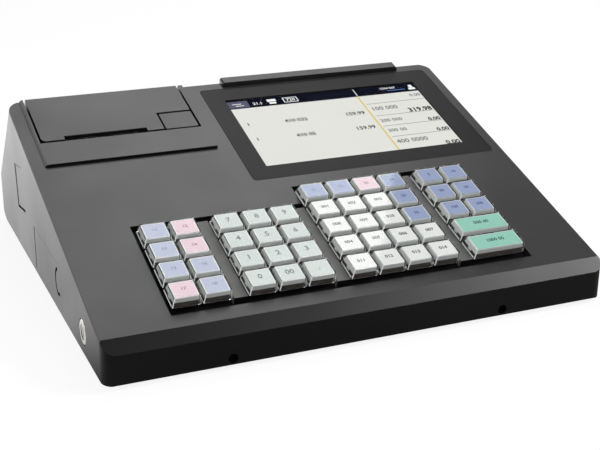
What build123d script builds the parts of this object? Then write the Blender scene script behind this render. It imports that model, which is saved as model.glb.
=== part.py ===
from build123d import *
import os
from math import cos, radians, sin, tan

# Ticket register with keypad, tilted display, receipt printer and pop-up customer display.
# Frame: +X to the operator's right, -Y towards the operator, +Z up, origin under the middle
# of the feet. All sizes in millimetres and degrees.

# ---------------------------------------------------------------- driving dimensions
body_width = 332.0
body_depth = 304.0
wall = 2.6
foot_height = 3.0
front_wall_height = 18.9
bevel_depth = 7.87
bevel_rise = 7.14
deck_tilt = 16.83
rear_face_height = 36.594
rear_slope_drop = 48.65
front_corner_radius = 8.0
rear_corner_radius = 11.0
deck_edge_chamfer = 0.8
deck_rear_radius = 2.0
shoulder_radius = 21.0
tail_radius = 24.0

seam_gap = 1.5
fit_gap = 0.3
tight_gap = 0.15
run_gap = 0.05

# plain strips between the deck's edges and what it holds
strip_left = 9.0
strip_right = 8.0
strip_rear = 8.5

# keypad
key_pitch = 19.05
key_gap = 0.85
key_top_width = 16.4
key_top_depth = 15.4
key_top_forward = 1.4
key_rise = 7.0
key_sink = 0.4
key_travel = 3.5
key_floor_gap = 1.0
key_stem = 5.0
key_stem_length = 11.0
key_front_row = 25.4
key_blocks_units = 12.5
well_margin_side = 2.0
well_margin_front = 6.0
well_margin_rear = 4.6
well_step_margin = 0.2
well_wall = 1.8
plate_thickness = 1.6
plate_lap = 5.0
spacer_inset = 0.4

# operator display
window_width = 185.0
window_depth = 116.5
window_thickness = 1.5
window_corner = 3.0
panel_width = 165.0
panel_height = 100.0
panel_thickness = 5.6
panel_shift_x = -0.95
panel_shift_s = -0.5

# receipt printer
paper_width = 57.5
slot_play = 0.4
slot_depth = 3.9
lid_margin_left = 15.5
lid_margin_middle = 13.4
lid_run = 54.9
lid_front_gap = 2.0
lid_thickness = 2.6
lid_corner = 3.5
pad_margin_left = 4.0
pad_margin_right = 4.8
pad_margin_front = 27.3
pad_rise = 1.8
pad_bevel = 1.4
button_width = 23.4
button_length = 19.3
button_sink = 0.3
button_thickness = 4.0
button_travel = 2.0
button_stem = 8.0
button_stem_length = 9.0
shelf_thickness = 2.0
hinge_drop = 10.0
hinge_barrel_radius = 3.2
hinge_pin_radius = 2.0
hinge_pin_reach = 10.6
hinge_cheek = 4.0
hinge_cheek_size = 9.0
platen_radius = 4.0
platen_axle_radius = 1.5
platen_overhang = 0.5
platen_set_back = 4.515
platen_drop = 10.880
ear_thickness = 2.5
ear_width = 7.0
ear_gap = 4.0
roll_radius = 22.0
roll_core_radius = 6.0
roll_behind_platen = 28.5
roll_below_platen = 14.4
tub_wall = 2.4
tub_side_gap = 1.15
tub_clearance = 3.4
tub_front_drop = 9.0
tub_cheek_rise = 6.5
tub_cheek_behind = 10.0
tub_round = 14.0
spindle_reach = 6.0
head_depth = 10.5
head_top_gap = 0.4
head_height = 8.0

# customer display
post_width = 144.5
post_shift = -0.75
post_set_in = 5.676
post_thickness = 9.0
post_height = 52.0
post_rise = 3.0
post_corner = 2.0
guide_wall = 2.4
guide_lap = 5.0
guide_foot = 2.580
post_window_margin = 8.0
post_window_height = 24.0
post_window_depth = 1.2

# bottom case, feet and screws
boss_from_side = 16.0
boss_from_front = 22.0
boss_from_rear = 40.0
boss_radius = 4.2
screw_radius = 1.5
screw_head_radius = 2.9
screw_head_height = 1.2
screw_length = 12.0
foot_radius = 8.0
foot_from_side = 28.0
foot_from_front = 18.0
foot_from_rear = 44.0
front_screw_x = 89.9
front_screw_height = 4.3
front_tab_width = 12.0
front_tab_height = 8.0
front_tab_thickness = 2.4
printer_post = 8.0
printer_post_inset = 5.0
vent_count = 9
vent_pitch = 9.0
vent_width = 3.0
vent_length = 60.0
vent_from_rear = 92.0

# main board and its rear sockets
board_width = 163.0
board_length = 145.5
board_from_side = 23.0
board_from_rear = 6.5
board_thickness = 1.6
board_height = 14.4
standoff_radius = 3.2
standoff_inset = 6.0
socket_face_inset = 1.2
socket_depth = 18.0
socket_mouth_depth = 10.0
socket_pitch = 28.0
power_from_edge = 15.0
power_size = 11.0
power_hole_radius = 3.1
power_pin_radius = 1.0
drawer_width = 15.0
drawer_height = 12.5
drawer_mouth_width = 9.8
drawer_mouth_height = 7.0
usb_width = 14.5
usb_height = 7.2
usb_mouth_width = 12.6
usb_mouth_height = 5.2
usb_tongue = 2.0

# left side: lock, service cover and card door
lock_from_front = 46.7
lock_height = 13.8
lock_radius = 7.2
lock_head_radius = 8.0
lock_head_height = 2.0
lock_length = 22.0
lock_plug_radius = 5.0
lock_slot_width = 1.4
lock_slot_length = 6.4
lock_slot_depth = 6.0
lock_boss_radius = 12.0
lock_boss_depth = 4.0
cam_length = 16.0
cam_width = 8.0
cam_thickness = 2.0
cover_from_front = 100.0
cover_length = 75.0
cover_height = 29.4
cover_floor_gap = 1.0
cover_thickness = 1.9
cover_lip = 3.0
cover_plug = 2.6
cover_rear_gap = 1.9
groove_width = 2.4
groove_depth = 1.2
groove_points = [(8.6, 25.5), (14.8, 16.9), (12.4, 9.8), (5.0, 9.8)]
door_from_rear = 85.9
door_lift = 46.8
door_width = 24.3
door_height = 29.6
door_turn = -8.8
door_thickness = 2.0
door_pin_radius = 0.6
door_gap = 0.7
door_recess = 0.35
door_pin_length = 2.0
bay_lip = 2.0
bay_depth = 9.0
bay_wall = 1.6
card_slot_width = 2.6

# ---------------------------------------------------------------- derived places and planes
tilt = radians(deck_tilt)
drop = radians(rear_slope_drop)

# the case's side view, centred on the footprint
half_width = body_width / 2
front_y = -body_depth / 2
rear_y = body_depth / 2
base_z = foot_height
floor_top = base_z + wall
bevel_foot = (front_y, base_z + front_wall_height)
deck_start = (front_y + bevel_depth, base_z + front_wall_height + bevel_rise)
shoulder = (rear_y, base_z + rear_face_height)
# the deck ends where the rear slope, drawn up from the shoulder, meets it
level_run = shoulder[0] - deck_start[0] + (shoulder[1] - deck_start[1]) / tan(drop)
deck_length = level_run / (cos(tilt) + sin(tilt) / tan(drop))
deck_end = (
    deck_start[0] + deck_length * cos(tilt),
    deck_start[1] + deck_length * sin(tilt),
)
side_corners = [(front_y, base_z), bevel_foot, deck_start, deck_end, shoulder, (rear_y, base_z)]
side_radii = [1.0, 0.0, 0.0, deck_rear_radius, shoulder_radius, tail_radius]

along_deck = Vector(0, cos(tilt), sin(tilt))
off_deck = Vector(0, -sin(tilt), cos(tilt))
down_rear = Vector(0, cos(drop), -sin(drop))
off_rear = Vector(0, sin(drop), cos(drop))
deck_origin = Vector(0, *deck_start)
rear_origin = Vector(0, *deck_end)
deck = Plane(origin=deck_origin, x_dir=(1, 0, 0), z_dir=off_deck)
rear_face = Plane(origin=rear_origin, x_dir=(1, 0, 0), z_dir=off_rear)
deck_section = Plane(origin=deck_origin, x_dir=(1, 0, 0), z_dir=along_deck)
rear_section = Plane(origin=rear_origin, x_dir=(1, 0, 0), z_dir=down_rear)
left_face = Plane(origin=(-half_width, 0, 0), x_dir=(0, 1, 0), z_dir=(1, 0, 0))


def deck_point(s, n):
    """(Y, Z) of the point s up the deck from its front edge and n above it."""
    point = deck_origin + along_deck * s + off_deck * n
    return (point.Y, point.Z)


def rear_point(t, depth):
    """(Y, Z) of the point t down the rear slope and depth under its surface."""
    point = rear_origin + down_rear * t - off_rear * depth
    return (point.Y, point.Z)


def block(x0, x1, y0, y1, z0, z1, mode=Mode.ADD):
    """A box between two corners, in the part that is being built."""
    with Locations(((x0 + x1) / 2, (y0 + y1) / 2, (z0 + z1) / 2)):
        Box(x1 - x0, y1 - y0, z1 - z0, mode=mode)


def panel(x0, x1, y0, y1, mode=Mode.ADD):
    """A rectangle between two corners, in the sketch that is being drawn."""
    with Locations(((x0 + x1) / 2, (y0 + y1) / 2)):
        Rectangle(x1 - x0, y1 - y0, mode=mode)


def finish(name, part):
    """Label a finished piece and write it."""
    part.label = name
    export_step(part, f"parts/{name}.step")


os.makedirs("parts", exist_ok=True)

# printer on the deck, from its left and rear edges
pad_left = -half_width + strip_left
lid_left = pad_left + pad_margin_left
slot_left = lid_left + lid_margin_left
slot_right = slot_left + paper_width + slot_play
button_left = slot_right + lid_margin_middle
lid_right = button_left + button_width
pad_right = lid_right + pad_margin_right
lid_front = deck_length - lid_run
pad_front = lid_front - pad_margin_front

# display window on the deck, from its right and rear edges
window_right = half_width - strip_right
window_left = window_right - window_width
window_rear = deck_length - strip_rear
window_front = window_rear - window_depth
window_middle = (window_left + window_right) / 2
panel_centre_x = window_middle + panel_shift_x
panel_centre_s = (window_front + window_rear) / 2 + panel_shift_s

# screws
boss_x = half_width - boss_from_side
boss_front_y = front_y + boss_from_front
boss_rear_y = rear_y - boss_from_rear
screw_places = [
    (-boss_x, boss_front_y),
    (boss_x, boss_front_y),
    (-boss_x, boss_rear_y),
    (boss_x, boss_rear_y),
]
front_screw_places = [
    (-front_screw_x, base_z + front_screw_height),
    (front_screw_x, base_z + front_screw_height),
]

# keypad places
well_depth = key_sink + key_travel + key_floor_gap
keypad_left = -key_blocks_units * key_pitch / 2
key_size = key_pitch - key_gap
well_left = keypad_left - well_margin_side
well_right = -well_left
well_front = key_front_row - key_size / 2 - well_margin_front
well_rear_short = key_front_row + 3 * key_pitch + key_size / 2 + well_margin_rear
well_rear_long = well_rear_short + key_pitch
well_step = keypad_left + 6 * key_pitch - well_step_margin
well_corners = [
    (well_left, well_front),
    (well_right, well_front),
    (well_right, well_rear_long),
    (well_step, well_rear_long),
    (well_step, well_rear_short),
    (well_left, well_rear_short),
]


def key_place(unit, row, units_wide=1):
    """Middle of a key's cell in deck coordinates."""
    return (keypad_left + (unit + units_wide / 2) * key_pitch, key_front_row + row * key_pitch)


number_names = [["0", "00", "point"], ["1", "2", "3"], ["4", "5", "6"], ["7", "8", "9"]]
key_cells = []
for row in range(4):
    for column in range(2):
        number = 2 * (3 - row) + column + 1
        key_cells.append((f"key_function_{number}", [(column, row)], 1))
for row in range(4):
    for column in range(3):
        name = f"key_number_{number_names[row][column]}"
        key_cells.append((name, [(2.5 + column, row)], 1))
for column in range(4):
    key_cells.append((f"key_department_{column + 1}", [(6 + column, 4)], 1))
key_cells.append(("key_department_5", [(9, 3)], 1))
key_cells.append(("key_department_6", [(9, 2)], 1))
for column in range(3):
    key_cells.append((f"key_item_{column + 1}", [(6 + column, 3), (6 + column, 2)], 1))
for column in range(4):
    key_cells.append((f"key_item_{column + 4}", [(6 + column, 1), (6 + column, 0)], 1))
for row in (4, 3, 2):
    for column in range(2):
        number = 2 * (4 - row) + column + 1
        key_cells.append((f"key_payment_{number}", [(10.5 + column, row)], 1))
key_cells.append(("key_subtotal", [(10.5, 1)], 2))
key_cells.append(("key_total", [(10.5, 0)], 2))
stem_places = [
    key_place(unit, row, units_wide) for _, cells, units_wide in key_cells for unit, row in cells
]

# printer places
lid_middle = (slot_left + slot_right) / 2
hinge_y, hinge_z = rear_point(hinge_drop, hinge_barrel_radius)
button_rear = lid_front + button_length
shelf_top = -button_sink - button_thickness - button_travel + pad_rise - seam_gap
platen_y, platen_z = deck_point(lid_front + platen_set_back, -platen_drop)
platen_length = paper_width + platen_overhang
ear_inset = platen_length / 2 + ear_gap
roll_y = platen_y + roll_behind_platen
roll_z = platen_z - roll_below_platen
tub_left = lid_middle - paper_width / 2 - tub_side_gap
tub_right = lid_middle + paper_width / 2 + tub_side_gap
tub_front_y = roll_y - roll_radius - tub_clearance
tub_rear_y = roll_y + roll_radius + tub_clearance
tub_base_z = roll_z - roll_radius - tub_clearance - tub_wall

# main board places
board_right = half_width - board_from_side
board_left = board_right - board_width
board_rear = rear_y - board_from_rear
board_front = board_rear - board_length
board_top = floor_top + board_height
board_base = board_top - board_thickness
socket_face = rear_y - socket_face_inset
power_x = board_right - power_from_edge
drawer_x = power_x - socket_pitch
usb_x = drawer_x - socket_pitch
sockets = [
    (power_x, power_size, power_size),
    (drawer_x, drawer_width, drawer_height),
    (usb_x, usb_width, usb_height),
]

# lock and service cover places
lock_y = front_y + lock_from_front
lock_z = base_z + lock_height
cover_front = front_y + cover_from_front
cover_rear = cover_front + cover_length
cover_bottom = floor_top + cover_floor_gap
cover_top = cover_bottom + cover_height
groove_path = [(cover_front + y, cover_bottom + z) for y, z in groove_points]

# card door places
door_plane = Plane(
    origin=(-half_width + door_recess, rear_y - door_from_rear, base_z + door_lift),
    x_dir=(0, cos(radians(door_turn)), sin(radians(door_turn))),
    z_dir=(1, 0, 0),
)
door_hinge_radius = door_thickness / 2
door_hinge_v = -door_height / 2 + door_hinge_radius
door_hinge = door_plane.origin + door_plane.y_dir * door_hinge_v
door_hinge = door_hinge + door_plane.z_dir * door_hinge_radius
door_hinge_plane = Plane(origin=door_hinge, z_dir=door_plane.x_dir)

# customer display places
post_left = window_middle + post_shift - post_width / 2
post_right = post_left + post_width
post_front = deck_end[0] - post_set_in
post_rear = post_front + post_thickness


def post_top_z(y):
    """Height of the customer display's top, which is parallel to the deck."""
    return deck_start[1] + (y - deck_start[0]) * tan(tilt) + post_rise / cos(tilt)


post_bottom_z = post_top_z(post_front) - post_height
guide_bottom = post_bottom_z + guide_foot


# ---------------------------------------------------------------- form of the case
def body_form(inset):
    """The case's outer form, drawn in by inset on every side."""
    reach = 2 * body_depth
    with BuildPart() as form:
        with BuildSketch(Plane.YZ.offset(-half_width - wall)):
            with BuildLine():
                FilletPolyline(*side_corners, radius=side_radii, close=True)
            make_face()
            if inset:
                offset(amount=-inset, kind=Kind.INTERSECTION)
        extrude(amount=body_width + 2 * wall)
        with BuildSketch() as plan:
            Rectangle(body_width - 2 * inset, body_depth - 2 * inset)
            fillet(plan.vertices().group_by(Axis.Y)[0], front_corner_radius - inset)
            fillet(plan.vertices().group_by(Axis.Y)[-1], rear_corner_radius - inset)
        extrude(amount=reach, mode=Mode.INTERSECT)
        with BuildSketch(rear_section.offset(-reach / 2)) as back:
            panel(-half_width + inset, half_width - inset, inset, reach)
            fillet(back.vertices().group_by(Axis.Y)[0], rear_corner_radius - inset)
        extrude(amount=reach, mode=Mode.INTERSECT)
        if not inset:
            with BuildSketch(deck_section.offset(-reach / 2)) as top:
                panel(-half_width - deck_edge_chamfer, half_width + deck_edge_chamfer, 0, reach)
                chamfer(top.vertices().group_by(Axis.Y)[0], 2 * deck_edge_chamfer)
            extrude(amount=reach, mode=Mode.INTERSECT)
    return form.part


outer_form = body_form(0.0)
inner_form = body_form(wall)

# ---------------------------------------------------------------- inner ribs of the top cover
with BuildPart() as cover_ribs:
    # screw columns from the deck to the bottom case
    with BuildSketch(Plane.XY.offset(floor_top)):
        with Locations(*screw_places):
            Circle(boss_radius)
    extrude(amount=body_depth)
    # guides of the customer display
    for end, side in ((post_left, -1), (post_right, 1)):
        inner_x = end - side * guide_lap
        outer_x = end + side * (fit_gap + guide_wall)
        block(
            min(inner_x, outer_x),
            max(inner_x, outer_x),
            post_front - fit_gap - guide_wall,
            post_rear + fit_gap + guide_wall,
            guide_bottom,
            body_depth,
        )
    # cheeks that carry the lid's hinge pins
    for x in (lid_left - seam_gap - hinge_cheek, lid_right + seam_gap):
        block(
            x,
            x + hinge_cheek,
            hinge_y - hinge_cheek_size,
            hinge_y + hinge_cheek_size,
            hinge_z - hinge_cheek_size,
            body_depth,
        )
    # boss behind the lock
    with BuildSketch(left_face):
        with Locations((lock_y, lock_z)):
            Circle(lock_boss_radius)
    extrude(amount=wall + lock_boss_depth)
    # frame behind the service cover
    with BuildSketch(left_face):
        panel(cover_front - cover_lip, cover_rear + cover_lip, floor_top, cover_top + cover_lip)
    extrude(amount=wall + cover_plug)
    # tray behind the card door
    with BuildSketch(door_plane):
        Rectangle(door_width + 2 * bay_wall, door_height + 2 * bay_wall)
    extrude(amount=bay_depth + bay_wall)
    add(outer_form, mode=Mode.INTERSECT)

# ---------------------------------------------------------------- top cover
with BuildPart() as top_cover:
    add(outer_form)
    with BuildSketch(deck):
        panel(pad_left, pad_right, pad_front, deck_length - pad_rise / tan(tilt + drop))
    extrude(amount=pad_rise)
    pad_edges = top_cover.edges().group_by(Axis(deck_origin, off_deck))[-1]
    chamfer(pad_edges.sort_by(Axis.X)[0], pad_bevel)
    add(inner_form, mode=Mode.SUBTRACT)
    # open underside, closed by the bottom case
    block(
        -half_width + wall,
        half_width - wall,
        front_y + wall,
        rear_y - tail_radius,
        -foot_height,
        floor_top + foot_height,
        mode=Mode.SUBTRACT,
    )
    add(cover_ribs)
    block(
        -half_width + wall,
        half_width - wall,
        front_y + wall,
        rear_y - tail_radius,
        -foot_height,
        floor_top,
        mode=Mode.SUBTRACT,
    )
    # keypad well with its skirt
    with BuildSketch(deck.offset(-well_depth)):
        with BuildLine():
            Polyline(*well_corners, close=True)
        make_face()
        offset(amount=well_wall, kind=Kind.INTERSECTION)
    extrude(amount=well_depth)
    with BuildSketch(deck.offset(-well_depth)):
        with BuildLine():
            Polyline(*well_corners, close=True)
        make_face()
    extrude(amount=2 * well_depth, mode=Mode.SUBTRACT)
    # seat of the display window and opening for the panel
    with BuildSketch(deck.offset(-window_thickness)):
        with Locations((window_middle, (window_front + window_rear) / 2)):
            RectangleRounded(
                window_width + 2 * tight_gap,
                window_depth + 2 * tight_gap,
                window_corner + tight_gap,
            )
    extrude(amount=2 * wall, mode=Mode.SUBTRACT)
    with BuildSketch(deck.offset(-2 * wall)):
        with Locations((panel_centre_x, panel_centre_s)):
            Rectangle(panel_width + 2 * fit_gap, panel_height + 2 * fit_gap)
    extrude(amount=2 * wall, mode=Mode.SUBTRACT)
    # opening for the printer lid, down to its hinge
    with BuildSketch(deck.offset(-lid_thickness)):
        panel(lid_left - seam_gap, lid_right + seam_gap, lid_front - lid_front_gap, deck_length)
    extrude(amount=3 * lid_thickness, mode=Mode.SUBTRACT)
    with BuildSketch(rear_face.offset(-2 * hinge_barrel_radius - seam_gap)):
        panel(
            lid_left - seam_gap,
            lid_right + seam_gap,
            -3 * pad_rise,
            hinge_drop + hinge_barrel_radius + seam_gap,
        )
    extrude(amount=4 * hinge_barrel_radius, mode=Mode.SUBTRACT)
    # hinge pins
    for x in (lid_left - seam_gap, lid_right + seam_gap - hinge_pin_reach):
        with Locations(Location((x + hinge_pin_reach / 2, hinge_y, hinge_z), (0, 90, 0))):
            Cylinder(hinge_pin_radius, hinge_pin_reach)
    # shelf under the lid's release button
    with BuildSketch(deck.offset(shelf_top - shelf_thickness)):
        panel(
            button_left - seam_gap,
            lid_right + seam_gap + shelf_thickness,
            lid_front - lid_front_gap - shelf_thickness,
            button_rear + seam_gap,
        )
    extrude(amount=shelf_thickness)
    with BuildSketch(deck.offset(shelf_top)):
        panel(
            lid_right + seam_gap,
            lid_right + seam_gap + shelf_thickness,
            lid_front - lid_front_gap - shelf_thickness,
            button_rear + seam_gap,
        )
        panel(
            button_left - seam_gap,
            lid_right + seam_gap + shelf_thickness,
            lid_front - lid_front_gap - shelf_thickness,
            lid_front - lid_front_gap,
        )
    extrude(amount=-shelf_top - wall / 2)
    with BuildSketch(deck.offset(shelf_top - 2 * shelf_thickness)):
        with Locations(((button_left + lid_right) / 2, (lid_front + button_rear) / 2)):
            Rectangle(button_stem + 2 * fit_gap, button_stem + 2 * fit_gap)
    extrude(amount=3 * shelf_thickness, mode=Mode.SUBTRACT)
    # pocket of the customer display
    block(
        post_left - fit_gap,
        post_right + fit_gap,
        post_front - fit_gap,
        post_rear + fit_gap,
        0,
        body_depth,
        mode=Mode.SUBTRACT,
    )
    # screw holes in the columns
    with BuildSketch(Plane.XY.offset(floor_top)):
        with Locations(*screw_places):
            Circle(screw_radius + run_gap)
    extrude(amount=screw_length + 1.0, mode=Mode.SUBTRACT)
    # holes for the two front screws
    with BuildSketch(Plane.XZ.offset(-front_y)):
        with Locations(*front_screw_places):
            Circle(screw_radius + run_gap)
    extrude(amount=-wall - 1.0, mode=Mode.SUBTRACT)
    with BuildSketch(Plane.XZ.offset(-front_y)):
        with Locations(*front_screw_places):
            Circle(screw_head_radius + tight_gap)
    extrude(amount=-screw_head_height - fit_gap, mode=Mode.SUBTRACT)
    # seat of the lock
    with BuildSketch(left_face):
        with Locations((lock_y, lock_z)):
            Circle(lock_head_radius + tight_gap)
    extrude(amount=lock_head_height, mode=Mode.SUBTRACT)
    with BuildSketch(left_face):
        with Locations((lock_y, lock_z)):
            Circle(lock_radius + tight_gap)
    extrude(amount=wall + 2 * lock_boss_depth, mode=Mode.SUBTRACT)
    # seat and opening of the service cover
    with BuildSketch(left_face):
        panel(
            cover_front - tight_gap,
            cover_rear + cover_rear_gap,
            cover_bottom - tight_gap,
            cover_top + tight_gap,
        )
    extrude(amount=cover_thickness + tight_gap, mode=Mode.SUBTRACT)
    with BuildSketch(left_face):
        panel(
            cover_front + cover_lip - fit_gap,
            cover_rear - cover_lip + fit_gap,
            cover_bottom + cover_lip - fit_gap,
            cover_top - cover_lip + fit_gap,
        )
    extrude(amount=wall + 2 * cover_plug, mode=Mode.SUBTRACT)
    # seat, pin holes and bay of the card door
    with BuildSketch(door_plane.offset(-door_recess)):
        Rectangle(door_width + 2 * door_gap, door_height + 2 * door_gap)
    extrude(amount=door_recess + door_thickness + fit_gap, mode=Mode.SUBTRACT)
    with BuildSketch(door_plane):
        Rectangle(door_width - 2 * bay_lip, door_height - 2 * bay_lip)
    extrude(amount=bay_depth, mode=Mode.SUBTRACT)
    with BuildSketch(door_plane):
        Rectangle(card_slot_width, door_height - 4 * bay_lip)
    extrude(amount=bay_depth + 2 * bay_wall, mode=Mode.SUBTRACT)
    pin_hole_length = door_width + 2 * door_pin_length + 2 * tight_gap
    with BuildSketch(door_hinge_plane.offset(-pin_hole_length / 2)):
        Circle(door_pin_radius + run_gap)
    extrude(amount=pin_hole_length, mode=Mode.SUBTRACT)
    # openings for the rear sockets
    for x, width, height in sockets:
        block(
            x - width / 2 - fit_gap,
            x + width / 2 + fit_gap,
            rear_y - 3 * wall,
            rear_y + wall,
            board_top - fit_gap,
            board_top + height + fit_gap,
            mode=Mode.SUBTRACT,
        )
finish("top_cover", top_cover.part)

# ---------------------------------------------------------------- bottom case
standoff_places = [
    (board_left + standoff_inset, board_front + standoff_inset),
    (board_right - standoff_inset, board_front + standoff_inset),
    (board_left + standoff_inset, board_rear - socket_depth - standoff_inset),
    (board_right - standoff_inset, board_rear - socket_depth - standoff_inset),
]
foot_x = half_width - foot_from_side
foot_front_y = front_y + foot_from_front
foot_rear_y = rear_y - foot_from_rear
foot_places = [
    (-foot_x, foot_front_y),
    (foot_x, foot_front_y),
    (-foot_x, foot_rear_y),
    (foot_x, foot_rear_y),
]
with BuildPart() as bottom_case:
    block(
        -half_width + wall + fit_gap,
        half_width - wall - fit_gap,
        front_y + wall + fit_gap,
        rear_y - tail_radius - fit_gap,
        base_z,
        floor_top,
    )
    floor_edges = bottom_case.edges().filter_by(Axis.Z).group_by(Axis.Y)[0]
    fillet(floor_edges, front_corner_radius - wall)
    # standoffs of the main board
    with BuildSketch(Plane.XY.offset(floor_top)):
        with Locations(*standoff_places):
            Circle(standoff_radius)
    extrude(amount=board_base - floor_top)
    # posts under the print unit
    with BuildSketch(Plane.XY.offset(floor_top)):
        with Locations(
            (tub_left + printer_post_inset, tub_front_y + printer_post_inset),
            (tub_right - printer_post_inset, tub_front_y + printer_post_inset),
            (tub_left + printer_post_inset, tub_rear_y - printer_post_inset),
            (tub_right - printer_post_inset, tub_rear_y - printer_post_inset),
        ):
            Rectangle(printer_post, printer_post)
    extrude(amount=tub_base_z - floor_top)
    # tabs behind the front wall
    for x in (-front_screw_x, front_screw_x):
        block(
            x - front_tab_width / 2,
            x + front_tab_width / 2,
            front_y + wall + fit_gap,
            front_y + wall + fit_gap + front_tab_thickness,
            floor_top,
            floor_top + front_tab_height,
        )
    with BuildSketch(Plane.XZ.offset(-front_y - wall)):
        with Locations(*front_screw_places):
            Circle(screw_radius + run_gap)
    extrude(amount=-screw_length, mode=Mode.SUBTRACT)
    # screw holes with seats for the heads
    with BuildSketch(Plane.XY.offset(base_z)):
        with Locations(*screw_places):
            Circle(screw_radius + run_gap)
    extrude(amount=wall, mode=Mode.SUBTRACT)
    with BuildSketch(Plane.XY.offset(base_z)):
        with Locations(*screw_places):
            Circle(screw_head_radius + tight_gap)
    extrude(amount=screw_head_height, mode=Mode.SUBTRACT)
    # vent slots
    with BuildSketch(Plane.XY.offset(base_z)):
        with Locations((0, rear_y - vent_from_rear)):
            with GridLocations(vent_pitch, vent_length, vent_count, 1):
                SlotOverall(vent_length, vent_width, rotation=90)
    extrude(amount=wall, mode=Mode.SUBTRACT)
finish("bottom_case", bottom_case.part)

with BuildPart() as rubber_feet:
    with BuildSketch():
        with Locations(*foot_places):
            Circle(foot_radius)
    extrude(amount=foot_height)
    chamfer(rubber_feet.edges().group_by(Axis.Z)[0], 0.6)
finish("rubber_feet", rubber_feet.part)

with BuildPart() as case_screws:
    with BuildSketch(Plane.XY.offset(base_z + screw_head_height)):
        with Locations(*screw_places):
            Circle(screw_radius)
    extrude(amount=screw_length)
    with BuildSketch(Plane.XY.offset(base_z + screw_head_height)):
        with Locations(*screw_places):
            Circle(screw_head_radius)
    extrude(amount=-screw_head_height + fit_gap)
    with BuildSketch(Plane.XZ.offset(-front_y - screw_head_height - fit_gap)):
        with Locations(*front_screw_places):
            Circle(screw_radius)
    extrude(amount=-wall - front_tab_thickness)
    with BuildSketch(Plane.XZ.offset(-front_y - screw_head_height - fit_gap)):
        with Locations(*front_screw_places):
            Circle(screw_head_radius)
    extrude(amount=screw_head_height)
finish("case_screws", case_screws.part)

# ---------------------------------------------------------------- keypad
with BuildPart() as key_plate:
    with BuildSketch(deck.offset(-well_depth)):
        with BuildLine():
            Polyline(*well_corners, close=True)
        make_face()
        offset(amount=plate_lap, kind=Kind.INTERSECTION)
        with Locations(*stem_places):
            Rectangle(key_stem + 2 * fit_gap, key_stem + 2 * fit_gap, mode=Mode.SUBTRACT)
    extrude(amount=-plate_thickness)
finish("key_plate", key_plate.part)

with BuildPart() as key_spacers:
    with BuildSketch(deck.offset(-well_depth)):
        for unit, rows in ((2.0, 4), (5.5, 4), (10.0, 5)):
            left = keypad_left + unit * key_pitch + spacer_inset
            panel(
                left,
                left + key_pitch / 2 - 2 * spacer_inset,
                key_front_row - key_size / 2,
                key_front_row - key_size / 2 + (rows - 1) * key_pitch + key_size,
            )
    extrude(amount=well_depth)
finish("key_spacers", key_spacers.part)


def key_piece(cells, units_wide):
    """One key, or a pair that rises and falls together: tapered caps on square stems."""
    width = units_wide * key_pitch - key_gap
    top_width = width - key_size + key_top_width
    with BuildPart() as key:
        for unit, row in cells:
            x, s = key_place(unit, row, units_wide)
            with BuildSketch(deck.offset(-key_sink)):
                with Locations((x, s)):
                    Rectangle(width, key_size)
            with BuildSketch(deck.offset(key_rise)):
                with Locations((x, s - key_top_forward)):
                    Rectangle(top_width, key_top_depth)
            loft()
            with BuildSketch(deck.offset(-key_sink)):
                with Locations((x, s)):
                    Rectangle(key_stem, key_stem)
            extrude(amount=-key_stem_length)
    return key.part


for name, cells, units_wide in key_cells:
    finish(name, key_piece(cells, units_wide))

# ---------------------------------------------------------------- operator display
with BuildPart() as display_window:
    with BuildSketch(deck.offset(-window_thickness)):
        with Locations((window_middle, (window_front + window_rear) / 2)):
            RectangleRounded(window_width, window_depth, window_corner)
    extrude(amount=window_thickness)
finish("display_window", display_window.part)

with BuildPart() as display_panel:
    with BuildSketch(deck.offset(-window_thickness)):
        with Locations((panel_centre_x, panel_centre_s)):
            Rectangle(panel_width, panel_height)
    extrude(amount=-panel_thickness)
finish("display_panel", display_panel.part)

# ---------------------------------------------------------------- printer lid and platen
lid_top_rear = deck_length - pad_rise / tan(tilt + drop)
lid_plane = Plane.YZ.offset(lid_left)
ear_left = lid_middle - ear_inset - ear_thickness
ear_right = lid_middle + ear_inset
with BuildPart() as printer_lid:
    with BuildSketch(lid_plane):
        with BuildLine():
            Polyline(
                deck_point(lid_front, pad_rise),
                deck_point(lid_top_rear, pad_rise),
                rear_point(hinge_drop, 0),
                rear_point(hinge_drop, lid_thickness),
                rear_point(lid_thickness, lid_thickness),
                deck_point(lid_front, pad_rise - lid_thickness),
                close=True,
            )
        make_face()
        with Locations((hinge_y, hinge_z)):
            Circle(hinge_barrel_radius)
    extrude(amount=lid_right - lid_left)
    with BuildSketch(deck.offset(-4 * hinge_drop)) as lid_plan:
        panel(lid_left, lid_right, lid_front, lid_front + body_depth)
        fillet(lid_plan.vertices().group_by(Axis.Y)[0].sort_by(Axis.X)[0], lid_corner)
        panel(
            button_left - seam_gap,
            lid_right + seam_gap,
            lid_front - lid_front_gap,
            button_rear + seam_gap,
            mode=Mode.SUBTRACT,
        )
        panel(
            slot_left,
            slot_right,
            lid_front - lid_front_gap,
            lid_front + slot_depth,
            mode=Mode.SUBTRACT,
        )
    extrude(amount=8 * hinge_drop, mode=Mode.INTERSECT)
    # ears of the platen roller
    ear_top = deck_point(lid_front + slot_depth, pad_rise - lid_thickness)[1]
    for x in (ear_left, ear_right):
        block(
            x,
            x + ear_thickness,
            platen_y - ear_width / 2,
            platen_y + ear_width / 2,
            platen_z - ear_width / 2,
            ear_top + 1.0,
        )
    with Locations(Location((lid_middle, platen_y, platen_z), (0, 90, 0))):
        Cylinder(platen_axle_radius + run_gap, body_width / 2, mode=Mode.SUBTRACT)
    with Locations(Location((lid_middle, hinge_y, hinge_z), (0, 90, 0))):
        Cylinder(hinge_pin_radius + run_gap, body_width, mode=Mode.SUBTRACT)
finish("printer_lid", printer_lid.part)

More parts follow.
